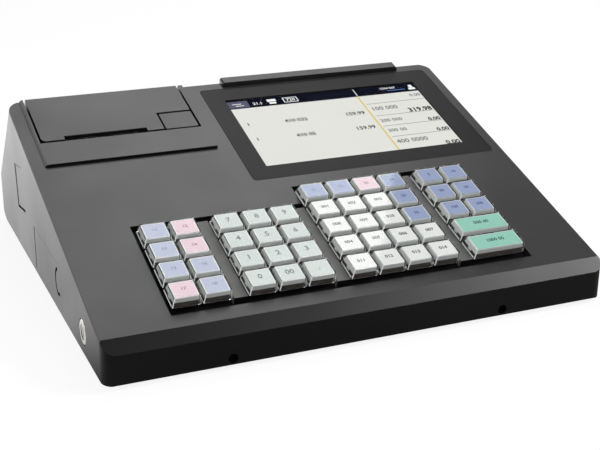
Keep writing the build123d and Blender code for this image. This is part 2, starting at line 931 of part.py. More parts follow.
with BuildPart() as platen_roller:
    with Locations(Location((lid_middle, platen_y, platen_z), (0, 90, 0))):
        Cylinder(platen_radius, platen_length)
        Cylinder(platen_axle_radius, 2 * (ear_inset + ear_thickness))
finish("platen_roller", platen_roller.part)

with BuildPart() as lid_button:
    button_base = pad_rise - button_sink - button_thickness
    with BuildSketch(deck.offset(button_base)) as button_plan:
        panel(button_left, lid_right, lid_front, button_rear)
        fillet(button_plan.vertices(), 0.8)
    extrude(amount=button_thickness)
    with BuildSketch(deck.offset(button_base)):
        with Locations(((button_left + lid_right) / 2, (lid_front + button_rear) / 2)):
            Rectangle(button_stem, button_stem)
    extrude(amount=-button_stem_length)
finish("lid_button", lid_button.part)

# ---------------------------------------------------------------- print unit and paper roll
with BuildPart() as print_unit:
    with BuildSketch(Plane.YZ.offset(tub_left - tub_wall)):
        with BuildLine():
            Polyline(
                (tub_front_y - tub_wall, tub_base_z),
                (tub_rear_y + tub_wall, tub_base_z),
                (tub_rear_y + tub_wall, platen_z + tub_cheek_rise),
                (platen_y + tub_cheek_behind, platen_z + tub_cheek_rise),
                (platen_y + tub_cheek_behind, platen_z - tub_front_drop),
                (tub_front_y - tub_wall, platen_z - tub_front_drop),
                close=True,
            )
        make_face()
    extrude(amount=tub_right - tub_left + 2 * tub_wall)
    with BuildSketch(Plane.YZ.offset(tub_left)) as bay:
        panel(tub_front_y, tub_rear_y, tub_base_z + tub_wall, body_depth)
        fillet(bay.vertices().group_by(Axis.Y)[0], tub_round)
    extrude(amount=tub_right - tub_left, mode=Mode.SUBTRACT)
    # print head under the platen
    block(
        lid_middle - platen_length / 2,
        lid_middle + platen_length / 2,
        tub_front_y - head_depth,
        tub_front_y,
        platen_z - platen_radius - head_top_gap - head_height,
        platen_z - platen_radius - head_top_gap,
    )
    # spindle pins of the paper roll
    for x in (tub_left, tub_right - spindle_reach):
        with Locations(Location((x + spindle_reach / 2, roll_y, roll_z), (0, 90, 0))):
            Cylinder(roll_core_radius - run_gap, spindle_reach)
finish("print_unit", print_unit.part)

with BuildPart() as paper_roll:
    with Locations(Location((lid_middle, roll_y, roll_z), (0, 90, 0))):
        Cylinder(roll_radius, paper_width)
        Cylinder(roll_core_radius, paper_width, mode=Mode.SUBTRACT)
finish("paper_roll", paper_roll.part)

# ---------------------------------------------------------------- customer display
with BuildPart() as customer_display:
    with BuildSketch(Plane.YZ.offset(post_left)):
        with BuildLine():
            Polyline(
                (post_front, post_bottom_z),
                (post_rear, post_bottom_z),
                (post_rear, post_top_z(post_rear)),
                (post_front, post_top_z(post_front)),
                close=True,
            )
        make_face()
    extrude(amount=post_right - post_left)
    top_rear_edge = customer_display.edges().filter_by(Axis.X).sort_by(Axis.Z)[-1]
    fillet(top_rear_edge, post_corner)
    top_end_edges = (
        customer_display.faces().sort_by(Axis(deck_origin, off_deck))[-1].edges()
    )
    chamfer(top_end_edges.group_by(Axis.X)[0] + top_end_edges.group_by(Axis.X)[-1], 1.2)
    window_top = post_top_z(post_front) - post_window_margin
    block(
        post_left + post_window_margin,
        post_right - post_window_margin,
        post_rear - post_window_depth,
        post_rear + post_window_depth,
        window_top - post_window_height,
        window_top,
        mode=Mode.SUBTRACT,
    )
finish("customer_display", customer_display.part)

# ---------------------------------------------------------------- lock
with BuildPart() as lock_barrel:
    with BuildSketch(left_face):
        with Locations((lock_y, lock_z)):
            Circle(lock_head_radius)
    extrude(amount=lock_head_height)
    chamfer(lock_barrel.edges().group_by(Axis.X)[0], 0.6)
    with BuildSketch(left_face):
        with Locations((lock_y, lock_z)):
            Circle(lock_radius)
    extrude(amount=lock_length)
    with BuildSketch(left_face):
        with Locations((lock_y, lock_z)):
            Circle(lock_plug_radius + run_gap)
    extrude(amount=lock_length, mode=Mode.SUBTRACT)
finish("lock_barrel", lock_barrel.part)

with BuildPart() as lock_plug:
    with BuildSketch(left_face.offset(fit_gap)):
        with Locations((lock_y, lock_z)):
            Circle(lock_plug_radius)
    extrude(amount=lock_length)
    with BuildSketch(left_face.offset(lock_length + fit_gap)):
        with Locations((lock_y, lock_z)):
            SlotCenterPoint((0, cam_length / 4), (0, cam_length / 2), cam_width)
    extrude(amount=cam_thickness)
    with BuildSketch(left_face):
        with Locations((lock_y, lock_z)):
            Rectangle(lock_slot_width, lock_slot_length)
    extrude(amount=lock_slot_depth, mode=Mode.SUBTRACT)
finish("lock_plug", lock_plug.part)

# ---------------------------------------------------------------- service cover and card door
with BuildPart() as side_cover:
    with BuildSketch(left_face):
        panel(cover_front, cover_rear, cover_bottom, cover_top)
    extrude(amount=cover_thickness)
    with BuildSketch(left_face.offset(cover_thickness)):
        panel(
            cover_front + cover_lip,
            cover_rear - cover_lip,
            cover_bottom + cover_lip,
            cover_top - cover_lip,
        )
    extrude(amount=cover_plug)
    with BuildSketch(left_face):
        with BuildLine() as groove:
            Spline(*groove_path)
        trace(groove.line, line_width=groove_width)
    extrude(amount=groove_depth, mode=Mode.SUBTRACT)
finish("side_cover", side_cover.part)

with BuildPart() as port_door:
    with BuildSketch(door_plane):
        panel(-door_width / 2, door_width / 2, door_hinge_v, door_height / 2)
    extrude(amount=door_thickness)
    with BuildSketch(door_hinge_plane.offset(-door_width / 2)):
        Circle(door_hinge_radius)
    extrude(amount=door_width)
    with BuildSketch(door_hinge_plane.offset(-door_width / 2 - door_pin_length)):
        Circle(door_pin_radius)
    extrude(amount=door_width + 2 * door_pin_length)
finish("port_door", port_door.part)

# ---------------------------------------------------------------- main board
with BuildPart() as main_board:
    block(board_left, board_right, board_front, board_rear, board_base, board_top)
    for x, width, height in sockets:
        block(
            x - width / 2,
            x + width / 2,
            socket_face - socket_depth,
            socket_face,
            board_top,
            board_top + height,
        )
    power_axis = (power_x, board_top + power_size / 2)
    with BuildSketch(Plane.XZ.offset(-socket_face)):
        with Locations(power_axis):
            Circle(power_hole_radius)
            Circle(power_pin_radius, mode=Mode.SUBTRACT)
        with Locations((drawer_x, board_top + drawer_height / 2)):
            Rectangle(drawer_mouth_width, drawer_mouth_height)
        with Locations((usb_x, board_top + usb_height / 2)):
            Rectangle(usb_mouth_width, usb_mouth_height)
        with Locations((usb_x, board_top + (usb_height + usb_tongue) / 2)):
            Rectangle(usb_mouth_width - 2 * tight_gap, usb_tongue - 1.0, mode=Mode.SUBTRACT)
    extrude(amount=socket_mouth_depth, mode=Mode.SUBTRACT)
finish("main_board", main_board.part)
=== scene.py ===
from math import cos, pi, radians, sin

import bmesh
import bpy
from mathutils import Matrix, Vector


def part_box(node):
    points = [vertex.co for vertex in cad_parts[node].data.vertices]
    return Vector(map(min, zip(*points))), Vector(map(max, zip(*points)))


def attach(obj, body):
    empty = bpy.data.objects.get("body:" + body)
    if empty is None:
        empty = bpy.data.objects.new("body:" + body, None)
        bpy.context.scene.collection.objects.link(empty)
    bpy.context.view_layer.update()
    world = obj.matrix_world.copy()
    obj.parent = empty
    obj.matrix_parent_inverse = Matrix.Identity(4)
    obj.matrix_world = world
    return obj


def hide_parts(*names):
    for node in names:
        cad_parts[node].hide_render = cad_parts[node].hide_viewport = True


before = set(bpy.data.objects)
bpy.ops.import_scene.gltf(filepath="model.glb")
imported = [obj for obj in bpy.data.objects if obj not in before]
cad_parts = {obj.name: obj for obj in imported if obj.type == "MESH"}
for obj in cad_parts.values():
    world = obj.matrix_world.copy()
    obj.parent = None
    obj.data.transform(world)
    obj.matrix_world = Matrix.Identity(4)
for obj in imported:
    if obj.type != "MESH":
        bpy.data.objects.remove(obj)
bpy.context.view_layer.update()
scene = bpy.context.scene
MM = 0.001

# ------------------------ studio
# A white table with a low upturned rim, five soft lamps over it, and a camera with a short
# telephoto lens at the operator's left. None of it is part of the register.
image_width_px = 600
focal_length_px = 1234.5
camera_place = Vector((-307.44, -748.75, 333.85)) * MM
camera_azimuth = radians(-23.39)
camera_elevation = radians(21.04)
camera_roll = radians(0.66)
camera = bpy.data.objects.new("camera", bpy.data.cameras.new("camera"))
camera.data.sensor_width = 36.0
camera.data.lens = focal_length_px / image_width_px * camera.data.sensor_width
camera.data.clip_start = 0.02
camera.data.clip_end = 20.0
camera.matrix_world = Matrix.Translation(camera_place)
for angle, axis in ((camera_azimuth, "Z"), (pi / 2 - camera_elevation, "X"), (camera_roll, "Z")):
    camera.matrix_world @= Matrix.Rotation(angle, 4, axis)
scene.collection.objects.link(camera)
scene.camera = camera
scene.view_settings.view_transform = "Standard"


def set_inputs(node, **values):
    """Fixed values for a node's inputs. An underscore stands for a space; colours are opaque."""
    for name, value in values.items():
        socket = node.inputs[name.replace("_", " ")]
        socket.default_value = (*value, 1) if socket.type == "RGBA" else value
    return node


def add_node(tree, kind, **values):
    """A new node with fixed values on its inputs."""
    return set_inputs(tree.nodes.new(kind), **values)


def add_math(tree, operation, second=None):
    """A new Math node, with its second value where that is fixed."""
    made = tree.nodes.new("ShaderNodeMath")
    made.operation = operation
    if second is not None:
        made.inputs[1].default_value = second
    return made


def join(tree, *routes):
    """Links in a tree, each from a node's output to a node's input."""
    for source, output, target, socket in routes:
        tree.links.new(source.outputs[output], target.inputs[socket])


def new_material(name):
    """A new material, its node tree and its Principled shader."""
    material = bpy.data.materials.new(name)
    material.use_nodes = True
    return material, material.node_tree, material.node_tree.nodes["Principled BSDF"]


def mesh_of(name, form):
    """The finished form as a mesh."""
    mesh = bpy.data.meshes.new(name)
    form.to_mesh(mesh)
    form.free()
    return mesh


def turned(name, profile, steps=24):
    """A mesh turned about Z from (radius, height) points."""
    form = bmesh.new()
    line = [form.verts.new((radius, 0, height)) for radius, height in profile]
    rims = [form.edges.new(pair) for pair in zip(line, line[1:])]
    bmesh.ops.spin(form, geom=line + rims, axis=(0, 0, 1), cent=(0, 0, 0), angle=2 * pi, steps=steps)
    bmesh.ops.remove_doubles(form, verts=form.verts, dist=1e-5)
    bmesh.ops.recalc_face_normals(form, faces=form.faces)
    return mesh_of(name, form)


def link_mesh(name, mesh, materials=()):
    """An object at the origin for that mesh, linked to the scene."""
    piece = bpy.data.objects.new(name, mesh)
    for material in materials:
        piece.data.materials.append(material)
    scene.collection.objects.link(piece)
    return piece


def hang_lamp(name, direction, distance, width, height, radiance, in_reflections=True):
    """A soft lamp that points at the register from that direction, as bright as it looks."""
    lamp = bpy.data.objects.new(name, bpy.data.lights.new(name, "AREA"))
    lamp.data.shape = "RECTANGLE"
    lamp.data.size = width
    lamp.data.size_y = height
    lamp.data.energy = radiance * pi * width * height
    lamp.visible_camera = False
    lamp.visible_glossy = in_reflections
    aim = Vector(direction).normalized()
    lamp.matrix_world = Matrix.Translation(aim * distance) @ aim.to_track_quat("Z", "Y").to_matrix().to_4x4()
    scene.collection.objects.link(lamp)


hang_lamp("lamp_rear", (0.215, 0.51, 0.83), 1.9, 0.95, 1.1, 4.0)
hang_lamp("lamp_front_right", (0.72, -0.28, 0.66), 1.8, 0.5, 0.6, 20.0)
hang_lamp("lamp_top", (-0.15, -0.10, 1.0), 2.0, 1.6, 1.6, 0.8, in_reflections=False)
hang_lamp("lamp_front", (-0.25, -0.90, 0.32), 2.0, 1.0, 1.0, 3.8, in_reflections=False)
hang_lamp("lamp_left", (-0.85, -0.35, 0.35), 2.0, 1.0, 1.0, 5.0, in_reflections=False)
world = bpy.data.worlds.new("studio air")
world.use_nodes = True
set_inputs(world.node_tree.nodes["Background"], Color=(0.93, 0.95, 1.0), Strength=0.07)
scene.world = world

table_radius = 2.6
table_rim = 0.9
table_rim_height = 1.3
rim_steps = 8
table_glow = 0.88
table_profile = [(0.0, 0.0), (1.0, 0.0)]
for step in range(rim_steps + 1):
    rim_angle = step / rim_steps * pi / 2
    table_profile.append((
        table_radius - table_rim * (1 - sin(rim_angle)),
        table_rim_height * (1 - cos(rim_angle)),
    ))
table_white, table_tree, table_shader = new_material("table white")
set_inputs(table_shader, Base_Color=(0.13, 0.13, 0.13), Roughness=0.8, Specular_IOR_Level=0.0,
           Emission_Color=(1, 1, 1))
table_rays = add_node(table_tree, "ShaderNodeLightPath")
table_place = add_node(table_tree, "ShaderNodeTexCoord")
table_axes = add_node(table_tree, "ShaderNodeSeparateXYZ")
# painted reflections: the table glows for mirrored rays only, bright beside and behind the register and dim
# in front of it
beside = add_node(table_tree, "ShaderNodeMapRange", From_Min=-0.17, From_Max=-0.03, To_Max=1.25)
beside.interpolation_type = "SMOOTHSTEP"
behind = add_node(table_tree, "ShaderNodeMapRange", From_Max=0.4, To_Max=1.7)
both_parts = add_math(table_tree, "ADD")
painted_reflection_glow = add_math(table_tree, "MULTIPLY")
seen = add_math(table_tree, "MAXIMUM")
seen_glow = add_math(table_tree, "MULTIPLY", table_glow)
glow = add_math(table_tree, "ADD")
join(
    table_tree,
    (table_place, "Object", table_axes, "Vector"),
    (table_axes, "Y", beside, "Value"),
    (table_axes, "Y", behind, "Value"),
    (beside, "Result", both_parts, 0),
    (behind, "Result", both_parts, 1),
    (table_rays, "Is Glossy Ray", painted_reflection_glow, 0),
    (both_parts, 0, painted_reflection_glow, 1),
    (table_rays, "Is Camera Ray", seen, 0),
    (table_rays, "Is Transmission Ray", seen, 1),
    (seen, 0, seen_glow, 0),
    (painted_reflection_glow, 0, glow, 0),
    (seen_glow, 0, glow, 1),
    (glow, 0, table_shader, "Emission Strength"),
)
table = link_mesh("table", turned("table", table_profile, 64), [table_white])

# ------------------------ top cover and bottom case
# Two injection moulded shells of black ABS with a fine spark-eroded grain. The top cover is
# screwed down onto the flat bottom case, so both keep their CAD meshes and share one finish.


def node_group(name, kind, inputs, outputs):
    """A node group with named sockets, its Group Input and its Group Output."""
    group = bpy.data.node_groups.new(name, kind)
    for direction, sockets in (("INPUT", inputs), ("OUTPUT", outputs)):
        for title, data in sockets.items():
            group.interface.new_socket(title, in_out=direction, socket_type="NodeSocket" + data)
    return group, group.nodes.new("NodeGroupInput"), group.nodes.new("NodeGroupOutput")


def add_group(tree, group, **values):
    """A shared effect placed in a material's tree with its own values."""
    placed_group = tree.nodes.new("ShaderNodeGroup")
    placed_group.node_tree = group
    return set_inputs(placed_group, **values)


def add_blend(tree):
    """A new Mix node for colours."""
    blend = tree.nodes.new("ShaderNodeMix")
    blend.data_type = "RGBA"
    return blend


def grain_group():
    """Colour, roughness and grain height of moulded plastic, shared by all the mouldings."""
    group, given, result = node_group(
        "moulded grain", "ShaderNodeTree",
        {"Colour": "Color", "Handled Colour": "Color", "Roughness": "Float", "Roughness Spread": "Float",
         "Grain Scale": "Float"},
        {"Colour": "Color", "Roughness": "Float", "Height": "Float"},
    )
    place = add_node(group, "ShaderNodeTexCoord")
    broad = add_node(group, "ShaderNodeTexNoise", Scale=16.0, Detail=4.0)
    fine = add_node(group, "ShaderNodeTexNoise", Detail=2.0)
    specks = add_node(group, "ShaderNodeTexVoronoi")
    handled = add_node(group, "ShaderNodeMapRange", From_Min=0.42, From_Max=0.72)
    blend = add_blend(group)
    centred = add_math(group, "SUBTRACT", 0.5)
    spread = add_math(group, "MULTIPLY_ADD")
    height = add_math(group, "ADD")
    join(
        group,
        *[(place, "Object", texture, "Vector") for texture in (broad, fine, specks)],
        (given, "Grain Scale", fine, "Scale"),
        (given, "Grain Scale", specks, "Scale"),
        (broad, "Fac", handled, "Value"),
        (handled, "Result", blend, "Factor"),
        (given, "Colour", blend, "A"),
        (given, "Handled Colour", blend, "B"),
        (broad, "Fac", centred, 0),
        (centred, 0, spread, 0),
        (given, "Roughness Spread", spread, 1),
        (given, "Roughness", spread, 2),
        (fine, "Fac", height, 0),
        (specks, "Distance", height, 1),
        (blend, "Result", result, "Colour"),
        (spread, 0, result, "Roughness"),
        (height, 0, result, "Height"),
    )
    return group


grain = grain_group()


def add_grain(tree, shader, colour, handled, roughness, spread, scale):
    """The grain in a material's tree, on the shader's colour and roughness."""
    finish = add_group(tree, grain, Colour=colour, Handled_Colour=handled, Roughness=roughness,
                       Roughness_Spread=spread, Grain_Scale=scale)
    join(tree, (finish, "Colour", shader, "Base Color"), (finish, "Roughness", shader, "Roughness"))
    return finish


def add_relief(tree, shader, finish, strength, depth):
    """The finish's height as a bump of that depth on the shader."""
    bump = add_node(tree, "ShaderNodeBump", Strength=strength, Distance=depth)
    join(tree, (finish, "Height", bump, "Height"), (bump, "Normal", shader, "Normal"))


def moulded(name, colour, handled, roughness=0.42, spread=0.16, scale=1500.0, depth=0.02, ior=1.5):
    """A material for one moulded plastic: its colour, sheen and grain."""
    material, tree, shader = new_material(name)
    set_inputs(shader, IOR=ior)
    finish = add_grain(tree, shader, colour, handled, roughness, spread, scale)
    add_relief(tree, shader, finish, strength=0.35, depth=depth * MM)
    return material


def dress(node, material):
    """Give a CAD node its finish. Its mesh stays as it is."""
    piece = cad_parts[node]
    piece.data.materials.clear()
    piece.data.materials.append(material)
    return piece


case_black = moulded("case black", (0.0045, 0.0042, 0.0045), (0.0070, 0.0066, 0.0070))
dress("top_cover", case_black)
dress("bottom_case", case_black)

# ------------------------ rubber feet
# Four pressed rubber discs, stuck under the bottom case near its corners. Their skin is dull
# and slightly dusty.
foot_black = moulded("foot black", (0.020, 0.020, 0.019), (0.045, 0.043, 0.040), 0.82, 0.12, 900.0, 0.05)
dress("rubber_feet", foot_black)

# ------------------------ case screws
# Six thread-forming steel screws with low round heads and a cross recess, blackened. Four hold
# the bottom case from below, and two show as dots low on the front wall.
screw_head_radius = 2.9 * MM
screw_head_height = 0.9 * MM
screw_shank_radius = 1.5 * MM
screw_length = 12.0 * MM
screw_recess_half = 0.45 * MM
screw_recess_reach = 1.798 * MM
screw_recess_depth = 0.6 * MM


def add_box(form, x0, x1, y0, y1, z0, z1, material_index=0):
    """A box between two corners, added to the form."""
    made = bmesh.ops.create_cube(form, size=1.0)["verts"]
    bmesh.ops.scale(form, verts=made, vec=(x1 - x0, y1 - y0, z1 - z0))
    bmesh.ops.translate(form, verts=made, vec=((x0 + x1) / 2, (y0 + y1) / 2, (z0 + z1) / 2))
    for face in {face for vert in made for face in vert.link_faces}:
        face.material_index = material_index


def box_mesh(name, *corners):
    """A mesh of one box, given as (x0, x1, y0, y1, z0, z1)."""
    form = bmesh.new()
    add_box(form, *corners)
    return mesh_of(name, form)


def evaluated_mesh(piece):
    """A plain mesh of the piece with its modifiers run."""
    bpy.context.view_layer.update()
    return bpy.data.meshes.new_from_object(piece.evaluated_get(bpy.context.evaluated_depsgraph_get()))


def settled(piece):
    """The piece's evaluated mesh in place of its modifiers."""
    mesh = evaluated_mesh(piece)
    piece.modifiers.clear()
    piece.data = mesh
    return piece


def scratch_group():
    """Roughness and height of fine scratches, long along the small part of the streak."""
    group, given, result = node_group(
        "metal scratches", "ShaderNodeTree",
        {"Streak": "Vector", "Scale": "Float", "Smoothest": "Float", "Roughest": "Float"},
        {"Roughness": "Float", "Height": "Float"},
    )
    place = add_node(group, "ShaderNodeTexCoord")
    stretch = add_node(group, "ShaderNodeMapping")
    scratches = add_node(group, "ShaderNodeTexNoise", Detail=3.0)
    gloss = add_node(group, "ShaderNodeMapRange")
    join(
        group,
        (place, "Object", stretch, "Vector"),
        (given, "Streak", stretch, "Scale"),
        (stretch, "Vector", scratches, "Vector"),
        (given, "Scale", scratches, "Scale"),
        (scratches, "Fac", gloss, "Value"),
        (given, "Smoothest", gloss, "To Min"),
        (given, "Roughest", gloss, "To Max"),
        (gloss, "Result", result, "Roughness"),
        (scratches, "Fac", result, "Height"),
    )
    return group


scratched = scratch_group()


def metal(name, colour, roughness, scale=260.0, streak=(1.0, 1.0, 1.0)):
    """Bare or plated metal whose gloss varies in fine scratches."""
    material, tree, shader = new_material(name)
    set_inputs(shader, Base_Color=colour, Metallic=1.0)
    finish = add_group(tree, scratched, Streak=streak, Scale=scale, Smoothest=max(0.04, roughness - 0.1),
                       Roughest=roughness + 0.1)
    join(tree, (finish, "Roughness", shader, "Roughness"))
    add_relief(tree, shader, finish, strength=0.1, depth=0.02 * MM)
    return material


screw_black = metal("blackened steel", (0.012, 0.012, 0.013), 0.62)
screw_form = link_mesh("screw_form", turned("screw_form", [
    (0, screw_head_height),
    (screw_head_radius * 0.55, screw_head_height),
    (screw_head_radius * 0.86, screw_head_height * 0.8),
    (screw_head_radius, screw_head_height * 0.35),
    (screw_head_radius, 0),
    (screw_shank_radius, 0),
    (screw_shank_radius, -screw_length + screw_shank_radius),
    (0, -screw_length),
]))
cutters = []
for half_x, half_y in ((screw_recess_reach, screw_recess_half), (screw_recess_half, screw_recess_reach)):
    cutters.append(link_mesh("recess", box_mesh(
        "recess", -half_x, half_x, -half_y, half_y,
        screw_head_height - screw_recess_depth, 2 * screw_head_height,
    )))
    cut = screw_form.modifiers.new("cut", "BOOLEAN")
    cut.operation = "DIFFERENCE"
    cut.object = cutters[-1]
settled(screw_form)


def end_tree(tree, given, source, output, result):
    """The end of a Geometry Nodes tree: its instances made real, in one finish."""
    real = add_node(tree, "GeometryNodeRealizeInstances")
    finish = add_node(tree, "GeometryNodeSetMaterial")
    join(
        tree,
        (source, output, real, "Geometry"),
        (real, "Geometry", finish, "Geometry"),
        (given, "Finish", finish, "Material"),
        (finish, "Geometry", result, 0),
    )


def screw_tree():
    """Geometry Nodes: the screw form at each seat, its axis along the seat's own direction."""
    tree, given, result = node_group(
        "screws in their seats", "GeometryNodeTree",
        {"Seats": "Geometry", "Screw": "Object", "Finish": "Material"}, {"Screws": "Geometry"},
    )
    form = add_node(tree, "GeometryNodeObjectInfo")
    outward = tree.nodes.new("GeometryNodeInputNamedAttribute")
    outward.data_type = "FLOAT_VECTOR"
    set_inputs(outward, Name="outward")
    lean = add_node(tree, "FunctionNodeAlignRotationToVector")
    spin = add_node(tree, "FunctionNodeRandomValue", Max=pi, Seed=7)
    about = add_node(tree, "ShaderNodeCombineXYZ")
    twist = add_node(tree, "FunctionNodeEulerToRotation")
    both = add_node(tree, "FunctionNodeRotateRotation")
    both.rotation_space = "LOCAL"
    seated = add_node(tree, "GeometryNodeInstanceOnPoints")
    join(
        tree,
        (given, "Screw", form, "Object"),
        (given, "Seats", seated, "Points"),
        (form, "Geometry", seated, "Instance"),
        (outward, "Attribute", lean, "Vector"),
        (spin, 1, about, "Z"),
        (about, "Vector", twist, "Euler"),
        (lean, "Rotation", both, "Rotation"),
        (twist, "Rotation", both, "Rotate By"),
        (both, "Rotation", seated, "Rotation"),
    )
    end_tree(tree, given, seated, "Instances", result)
    return tree


def grow(piece, tree, **values):
    """Run a Geometry Nodes tree on the piece with these inputs, and keep the plain mesh."""
    modifier = piece.modifiers.new(tree.name, "NODES")
    modifier.node_group = tree
    for socket in tree.interface.items_tree:
        if socket.in_out == "INPUT" and socket.name in values:
            modifier[socket.identifier] = values[socket.name]
    return settled(piece)


def point_mesh(name, points):
    """A mesh of loose points."""
    mesh = bpy.data.meshes.new(name)
    mesh.from_pydata(points, [], [])
    return mesh


def islands(node):
    """Lowest and highest corner of each separate solid of a CAD node."""
    form = bmesh.new()
    form.from_mesh(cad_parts[node].data)
    bmesh.ops.remove_doubles(form, verts=form.verts, dist=1e-6)
    left, boxes = set(form.verts), []
    while left:
        front = [left.pop()]
        solid = list(front)
        while front:
            vert = front.pop()
            for edge in vert.link_edges:
                other = edge.other_vert(vert)
                if other in left:
                    left.discard(other)
                    front.append(other)
                    solid.append(other)
        boxes.append([Vector([end(v.co[i] for v in solid) for i in range(3)]) for end in (min, max)])
    form.free()
    return sorted(boxes, key=lambda pair: tuple(round(c, 5) for c in pair[0]))


seats, outwards = [], []
for low, high in islands("case_screws"):
    axis = 2 if high.z - low.z > high.y - low.y else 1
    seat, outward = (low + high) / 2, Vector()
    seat[axis] = low[axis] + screw_head_height
    outward[axis] = -1
    seats.append(tuple(seat))
    outwards.append(outward)
seat_mesh = point_mesh("screw_seats", seats)
outward_data = seat_mesh.attributes.new("outward", "FLOAT_VECTOR", "POINT")
for place, direction in zip(outward_data.data, outwards):
    place.vector = direction
screws = link_mesh("cross_recess_screws", seat_mesh)
grow(screws, screw_tree(), Screw=screw_form, Finish=screw_black)
for spare in (screw_form, *cutters):
    bpy.data.objects.remove(spare)
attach(screws, "housing")
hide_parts("case_screws")

# ------------------------ key plate and spacer bars
# A black lacquered steel plate screwed under the keypad well, which guides the key stems, and
# three grey plastic bars that fill the half-pitch gaps between the blocks of keys. The bars'
# front ends are painted black as shade, for the shade in the well's front gap.
deck_tilt = radians(16.83)
window_thickness = 1.5 * MM
window_front = 127.0 * MM
along_deck = Vector((0, cos(deck_tilt), sin(deck_tilt)))
off_deck = Vector((0, -sin(deck_tilt), cos(deck_tilt)))
window_low, window_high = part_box("display_window")
window_run = window_high.y - window_low.y - window_thickness * sin(deck_tilt)
window_length = window_run / cos(deck_tilt)
deck_origin = Vector((0, window_low.y, window_high.z - window_length * sin(deck_tilt)))
deck_origin -= along_deck * window_front
deck = Matrix.Translation(deck_origin) @ Matrix(((1, 0, 0), along_deck, off_deck)).transposed().to_4x4()
to_deck = deck.inverted()


def border_group():
    """A second colour where an object reaches past a border in one direction."""
    group, given, result = node_group(
        "colour past a border", "ShaderNodeTree",
        {"Colour": "Color", "Colour Beyond": "Color", "Direction": "Vector", "Border": "Float"},
        {"Colour": "Color"},
    )
    place = add_node(group, "ShaderNodeTexCoord")
    reach = add_node(group, "ShaderNodeVectorMath")
    reach.operation = "DOT_PRODUCT"
    beyond = add_math(group, "GREATER_THAN")
    blend = add_blend(group)
    join(
        group,
        (place, "Object", reach, 0),
        (given, "Direction", reach, 1),
        (reach, "Value", beyond, 0),
        (given, "Border", beyond, 1),
        (beyond, 0, blend, "Factor"),
        (given, "Colour", blend, "A"),
        (given, "Colour Beyond", blend, "B"),
        (blend, "Result", result, "Colour"),
    )
    return group


past_border = border_group()


def recolour(material, direction, border, colour):
    """Another colour where a moulding reaches past the border in one direction."""
    tree = material.node_tree
    paint = tree.nodes["Principled BSDF"].inputs["Base Color"]
    second = add_group(tree, past_border, Colour_Beyond=colour, Direction=direction, Border=border)
    tree.links.new(paint.links[0].from_socket, second.inputs["Colour"])
    tree.links.new(second.outputs["Colour"], paint)


plate_black = moulded("black lacquer", (0.003, 0.003, 0.003), (0.005, 0.005, 0.005),
                      0.7, 0.1, 2400.0, 0.01, 1.2)
dress("key_plate", plate_black)
bar_grey = moulded("bar grey", (0.080, 0.080, 0.077), (0.094, 0.094, 0.091), 0.5, 0.1)
# painted shade: the bars' front faces are coloured near black instead of their grey
bar_end_painted_shade = (0.004, 0.004, 0.004)
painted_shade_depth = 0.1 * MM
bars = dress("key_spacers", bar_grey)
bar_front = max(-along_deck.dot(vert.co) for vert in bars.data.vertices)
recolour(bar_grey, -along_deck, bar_front - painted_shade_depth, bar_end_painted_shade)

# ------------------------ keys
# Relegendable keys: a clear flared cap snaps over a pale plunger and traps a printed paper
# label. The cap's corners and lower side edges carry a painted highlight: pale opaque faces for
# the light that its clear edges catch. The plunger stands on a grey socket with a square stem,
# whose dark grey-brown is partly painted shade, and two cheeks hang from its sides. Each key
# rides on its own body.
key_depth = 18.2 * MM
key_sink = 0.4 * MM
key_rise = 7.0 * MM
key_top_forward = 1.4 * MM
key_top_inset = 0.9 * MM
key_top_depth = 15.4 * MM
cap_wall = 0.75 * MM
cap_roof = 0.8 * MM
cap_corner = 1.3 * MM
cap_corner_steps = 3
cap_highlight_band = 1.3 * MM
cap_top_round = 0.45 * MM
cap_top_fall = 0.13 * MM
plunger_gap = 0.12 * MM
plunger_depth_at_front = 2.9 * MM
cheek_thickness = 1.2 * MM
cheek_lift = 2.9 * MM
cheek_rib_width = 3.4 * MM
cheek_set_back = 1.2 * MM
label_inset = 0.6 * MM
label_thickness = 0.12 * MM
print_thickness = 0.03 * MM
print_from_middle = 0.7 * MM
font_figure_height = 0.72
socket_inset = 0.5 * MM
stem_half = 2.5 * MM
stem_end = 11.4 * MM


def shade(colour, share):
    """The colour brighter or darker by that share, up to white."""
    return [min(1.0, share * part) for part in colour]


def clear_plastic(name, tint, roughness, ior):
    """Clear moulded plastic. Light shines straight through it onto what is behind it."""
    material, tree, shader = new_material(name)
    set_inputs(shader, IOR=ior, Transmission_Weight=1.0)
    add_grain(tree, shader, tint, shade(tint, 0.985), roughness, roughness, 400.0)
    through = add_node(tree, "ShaderNodeBsdfTransparent", Color=shade(tint, 0.9))
    rays = add_node(tree, "ShaderNodeLightPath")
    lighting = add_math(tree, "MAXIMUM")
    choice = add_node(tree, "ShaderNodeMixShader")
    join(
        tree,
        (rays, "Is Shadow Ray", lighting, 0),
        (rays, "Is Diffuse Ray", lighting, 1),
        (lighting, 0, choice, "Fac"),
        (shader, "BSDF", choice, 1),
        (through, "BSDF", choice, 2),
        (choice, "Shader", tree.nodes["Material Output"], "Surface"),
    )
    return material


def rounded(x0, x1, s0, s1, radius, steps):
    """Corner points of a rounded rectangle, anticlockwise from its right side."""
    points = []
    for x, s, start in ((x1 - radius, s1 - radius, 0), (x0 + radius, s1 - radius, 1),
                        (x0 + radius, s0 + radius, 2), (x1 - radius, s0 + radius, 3)):
        for step in range(steps + 1):
            angle = (start + step / steps) * pi / 2
            points.append((x + radius * cos(angle), s + radius * sin(angle)))
    return points


def band(form, lower, upper):
    """The faces round between two rows of as many corners."""
    count = len(lower)
    return [
        form.faces.new((lower[i], lower[(i + 1) % count], upper[(i + 1) % count], upper[i]))
        for i in range(count)
    ]


